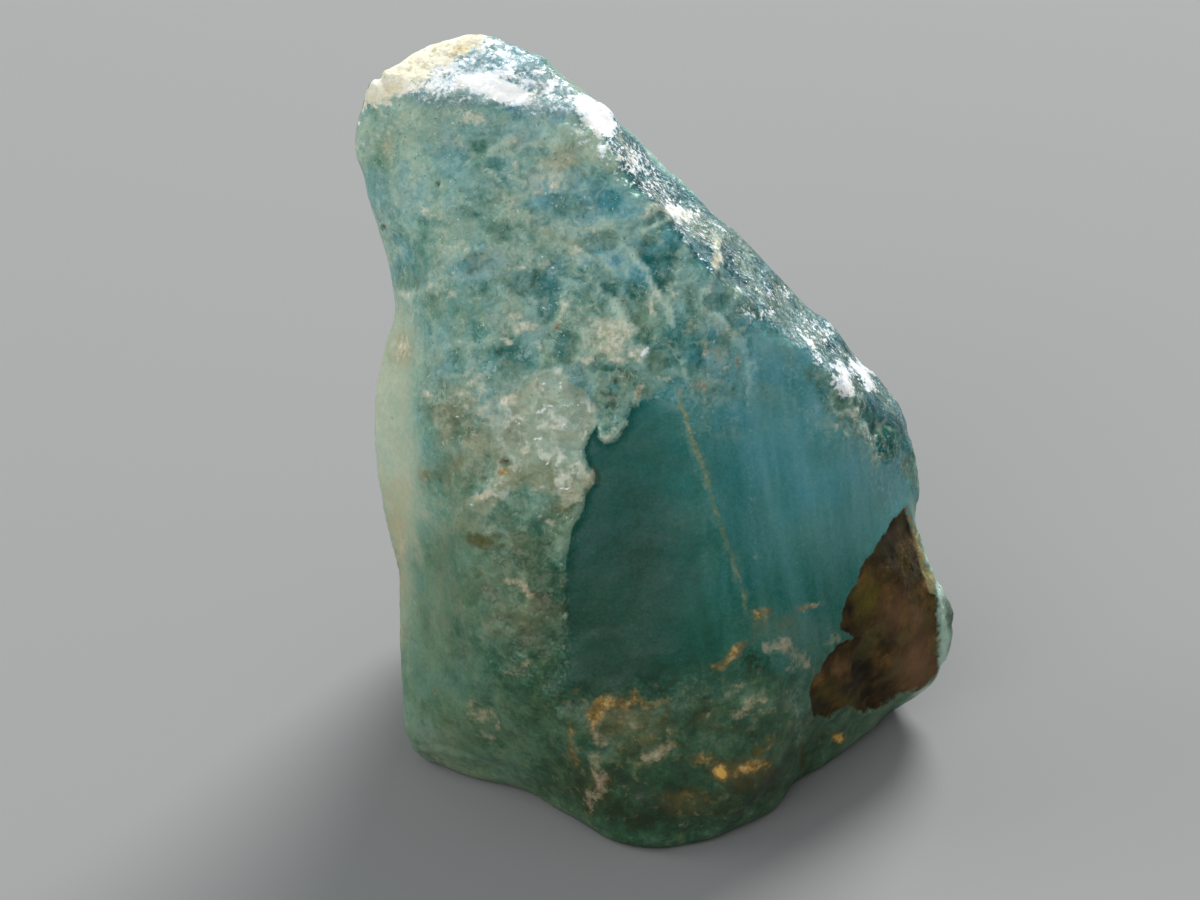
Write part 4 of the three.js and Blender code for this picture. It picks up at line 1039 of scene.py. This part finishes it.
# pale veils, ragged, with the painted glow along the bottom outline
veil_and_glow_m = fit(add(veil_and_glow, centred(noise(0.16, 4, 0.65, 21.0), 1.3)), 0.25, 0.95)
veil_and_glow_m = mul(veil_and_glow_m, fit(veil_and_glow, 0.0, 0.2))
colour = mix(mul(veil_and_glow_m, 0.62), colour, srgb(188, 210, 190))

pale_n = noise(0.45, 5, 0.62, 25.0)
pale_m = fit(add(pale, centred(pale_n, 1.2)), 0.35, 0.85)
colour = mix(mul(pale_m, 0.46), colour, mix(fit(noise(0.7, 4, 0.6, 26.0), 0.40, 0.60), srgb(164, 156, 120), srgb(186, 194, 166)))
pale_vein = mul(mul(ridge(0.95, 0.07, 27.0, 5.0, BENT), pale), fit(noise(0.6, 3, 0.6, 28.0), 0.44, 0.62))
colour = mix(mul(pale_vein, 0.7), colour, srgb(230, 234, 218))

# hair cracks, painted sparkle standing in for tiny glints, and dark grains
crack = mul(ridge(0.55, 0.016, 31.0, 3.0, BENT), fit(noise(0.9, 3, 0.6, 33.0), 0.46, 0.60))
crack = mul(crack, sub(1.0, mul(lower_dull_and_shade, 0.85)))
colour = mix(mul(mul(crack, grain), 0.36), colour, srgb(206, 222, 206))
# painted highlights: tiny white glint specks
painted_sparkle = mul(mul(fit(noise(0.075, 1, 0.4, 35.0), 0.67, 0.78), fit(noise(0.9, 4, 0.62, 37.0), 0.50, 0.62)), sub(1.0, lower_dull_and_shade))
colour = mix(mul(mul(painted_sparkle, grain), 0.75), colour, srgb(232, 240, 232))
dark_spot = mul(fit(noise(0.09, 1, 0.4, 36.0), 0.69, 0.76), grain)
colour = mix(mul(dark_spot, 0.55), colour, srgb(60, 84, 70))

# the ochre veinlet in the smooth side
vein_x = m("ABSOLUTE", add(attr("vein_d"), centred(noise(0.25, 4, 0.6, 57.0), 9.0)))
vein_m = mul(fit(vein_x, 4.4, 0.6), mul(attr("vein"), fit(noise(0.22, 4, 0.65, 59.0), 0.32, 0.62)))
vein_c = mix(fit(noise(0.30, 3, 0.6, 60.0), 0.44, 0.60), srgb(128, 124, 66), srgb(172, 160, 108))
colour = mix(mul(vein_m, 0.72), colour, vein_c)
vein_w = mul(fit(vein_x, 12.0, 2.0), mul(attr("vein"), fit(noise(0.35, 4, 0.65, 58.0), 0.48, 0.66)))
colour = mix(mul(vein_w, 0.40), colour, srgb(150, 172, 142))

# dust: tan to pinkish grains
sand_n = noise(0.19, 5, 0.68, 45.0)
sand_m = mul(fit(add(sand, centred(sand_n, mixf(low, 1.9, 2.4))), 0.15, mixf(low, 0.95, 1.15)), fit(sand, 0.02, 0.3))
sandy = stops(noise(0.12, 4, 0.65, 47.0), [
    (0.28, srgb(176, 178, 144)),
    (0.44, srgb(206, 206, 176)),
    (0.55, srgb(232, 222, 200)),
    (0.68, srgb(248, 240, 228)),
])
colour = mix(mul(sand_m, mixf(lower_dull_and_shade, 0.78, 0.60)), colour, mix(mul(lower_dull_and_shade, 0.75), sandy, srgb(184, 156, 122)))

# iron stains
ochre_m = mul(fit(add(ochre, centred(noise(0.24, 5, 0.65, 51.0), 1.6)), 0.12, 1.0), fit(ochre, 0.0, 0.25))
ochre_c = stops(noise(0.18, 3, 0.6, 53.0), [
    (0.32, srgb(98, 74, 28)),
    (0.50, srgb(150, 116, 58)),
    (0.64, srgb(204, 168, 108)),
])
ochre_c = mix(fit(ochre, 0.95, 1.4), ochre_c, srgb(224, 174, 88))
colour = mix(mul(ochre_m, 0.85), colour, ochre_c)
olive_m = mul(fit(add(olive, centred(noise(0.18, 4, 0.65, 55.0), 1.1)), 0.15, 0.85), fit(olive, 0.0, 0.25))
colour = mix(mul(olive_m, 0.80), colour, srgb(84, 80, 34))

# painted highlights: white glint patches and sparkling specks on the top break
glint_noise = noise(0.12, 4, 0.68, 61.0)
glint_mask = mul(fit(add(painted_glint, centred(glint_noise, 2.6)), mixf(attr("cap"), 0.49, 0.34), mixf(attr("cap"), 0.77, 0.92)), fit(painted_glint, 0.02, 0.3))
glint_colour = stops(noise(0.5, 2, 0.5, 63.0), [(0.35, srgb(228, 240, 246)), (0.5, srgb(246, 250, 250)), (0.68, srgb(248, 244, 234))])
glint_colour = mix(fit(painted_glint, 1.0, 1.3), glint_colour, srgb(254, 254, 252))
colour = mix(mul(glint_mask, mixf(fit(painted_glint, 0.4, 0.9), 0.82, 0.95)), colour, glint_colour)

# cream crust
crust_n = noise(0.24, 5, 0.68, 71.0)
crust_m = fit(add(crust, centred(crust_n, 2.2)), 0.42, 0.86)
crust_c = stops(add(crust_n, centred(noise(0.8, 2, 0.5, 73.0), 0.6)), [
    (0.24, srgb(214, 200, 156)),
    (0.38, srgb(232, 224, 196)),
    (0.52, srgb(233, 229, 207)),
    (0.70, srgb(241, 238, 225)),
])
crust_c = mix(mul(fit(add(attr("crust_tan"), centred(crust_n, 1.4)), 0.2, 1.0), 0.62), crust_c, srgb(218, 198, 142))
colour = mix(crust_m, colour, crust_c)

# painted glow on the teal rim, and the brown skin
colour = mix(mul(rim, 0.8), colour, srgb(190, 218, 198))
edge_n = centred(noise(0.22, 4, 0.6, 81.0), 9.0)
brown_m = fit(add(brown_sd, edge_n), -1.2, 1.4)
brown_n = noise(0.7, 5, 0.6, 83.0)
brown_c = stops(brown_n, [
    (0.30, srgb(24, 16, 2)),
    (0.45, srgb(46, 33, 6)),
    (0.56, srgb(74, 53, 16)),
    (0.68, srgb(112, 82, 40)),
])
brown_c = mix(mul(fit(noise(1.3, 3, 0.6, 85.0), 0.47, 0.62), 0.62), brown_c, srgb(78, 74, 36))
# olive and reddish patches partly painted highlights, dark patches partly painted shade
brown_c = mix(mul(attr("b_olive_highlight"), 0.72), brown_c, srgb(98, 88, 28))
brown_c = mix(mul(attr("b_red_highlight"), 0.66), brown_c, srgb(136, 98, 66))
brown_c = mix(mul(attr("b_dark_shade"), 0.75), brown_c, srgb(26, 19, 6))
# painted glow on the cream rim along the brown skin's right edge
brown_c = mix(mul(fit(attr("b_rim"), 0.3, 0.8), 0.7), brown_c, srgb(178, 168, 120))
colour = mix(brown_m, colour, brown_c)

# relief too fine for the mesh (mm)
def facets(size, w, vec):
    """Flat chips, each tilted its own way."""
    c = cells(size, w, "F1", vec)
    d = nd("ShaderNodeVectorMath", shifted(vec, w), c.outputs["Position"], operation="SUBTRACT")
    r = nd("ShaderNodeVectorMath", c.outputs["Color"], (0.5, 0.5, 0.5), operation="SUBTRACT")
    return nd("ShaderNodeVectorMath", d, r, out=1, operation="DOT_PRODUCT")


matte = m("MAXIMUM", m("MAXIMUM", sand_m, ochre_m), m("MAXIMUM", crust_m, brown_m))
g_attr, s_attr = attr("grain"), attr("sand")
broken = m("MAXIMUM", g_attr, top)
crumbs = add(add(mul(fit(brown_sd, -1.0, 1.0), 0.030), mul(crust, 0.018)), add(mul(s_attr, 0.02), mul(g_attr, 0.012)))
height = mul(facets(0.17, 7.0, BENT), mul(broken, fit(attr("painted_glint"), 0.75, 1.1, 0.5, 0.14)))
height = add(height, mul(noise(0.13, 4, 0.65, 91.0), crumbs))
height = add(height, mul(noise(0.45, 3, 0.6, 93.0), 0.016))
bump = nt.nodes.new("ShaderNodeBump")
bump.inputs["Strength"].default_value = 1.0
bump.inputs["Distance"].default_value = 0.001
nt.links.new(height, bump.inputs["Height"])

rough = mixf(grain, 0.40, 0.30)
rough = mixf(top, rough, 0.20)
rough = add(rough, centred(noise(0.4, 3, 0.6, 111.0), 0.25))
rough = mixf(matte, rough, 0.85)
sss = mul(sub(1.0, matte), 0.45)
sss = mul(sss, sub(1.0, mul(glint_mask, 0.8)))

bsdf = nt.nodes.new("ShaderNodeBsdfPrincipled")
nt.links.new(colour, bsdf.inputs["Base Color"])
nt.links.new(rough, bsdf.inputs["Roughness"])
nt.links.new(bump.outputs[0], bsdf.inputs["Normal"])
nt.links.new(sss, bsdf.inputs["Subsurface Weight"])
bsdf.inputs["IOR"].default_value = 1.55
bsdf.inputs["Specular IOR Level"].default_value = 0.22
bsdf.inputs["Subsurface Radius"].default_value = (0.55, 1.0, 0.92)
bsdf.inputs["Subsurface Scale"].default_value = 0.00028
outn = nt.nodes.new("ShaderNodeOutputMaterial")
nt.links.new(bsdf.outputs[0], outn.inputs[0])
me.materials.append(mat)

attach(crystal, "root")
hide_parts("grandidierite_crystal")

# ------------------------------------------------------------------ floor
fm = bpy.data.materials.new("studio_floor")
fm.use_nodes = True
fb = fm.node_tree.nodes["Principled BSDF"]
fb.inputs["Base Color"].default_value = (*srgb(140, 141, 140), 1)
fb.inputs["Roughness"].default_value = 0.9
fb.inputs["Specular IOR Level"].default_value = 0.1
bpy.ops.mesh.primitive_plane_add(size=1.6, location=(0, 0, -0.00002))
floor = bpy.context.object
floor.name = "floor"
floor.data.materials.append(fm)

# ------------------------------------------------------------------ camera
MMU = 0.001
cam = bpy.data.cameras.new("camera")
cam.sensor_width = 36.0
cam.lens = 36.0 * DIST / (1200 / UNIT)
cam.clip_start = 0.005
cam.clip_end = 10.0
camera = bpy.data.objects.new("camera", cam)
bpy.context.scene.collection.objects.link(camera)
camera.location = (FOCUS + DIST * VIEW) * MMU
camera.rotation_euler = Vector(-VIEW).to_track_quat("-Z", "Y").to_euler()
bpy.context.scene.camera = camera


# ------------------------------------------------------------------ light
def area(name, direction, dist, size, power, colour=(1, 1, 1)):
    l = bpy.data.lights.new(name, "AREA")
    l.shape = "DISK"
    l.size = size
    l.energy = power
    l.color = colour
    o = bpy.data.objects.new(name, l)
    bpy.context.scene.collection.objects.link(o)
    d = Vector(direction).normalized()
    aim = Vector((0.0, 0.0, 0.009))
    o.location = aim + d * dist
    o.rotation_euler = d.to_track_quat("Z", "Y").to_euler()
    return o


area("window_light", (0.28, 0.70, 0.72), 0.45, 0.20, 2.6)
area("low_window", (0.52, 0.86, 0.20), 0.45, 0.12, 0.15)
area("front_fill", (-0.35, -0.78, 0.50), 0.60, 0.50, 1.45)
area("left_fill", (-0.85, 0.1, 0.50), 0.45, 0.30, 0.5)
world = bpy.data.worlds.new("studio")
world.use_nodes = True
world.node_tree.nodes["Background"].inputs[0].default_value = (0.90, 0.95, 1.0, 1)
world.node_tree.nodes["Background"].inputs[1].default_value = 0.40
bpy.context.scene.world = world
bpy.context.scene.view_settings.view_transform = "Standard"
bpy.context.scene.view_settings.look = "None"
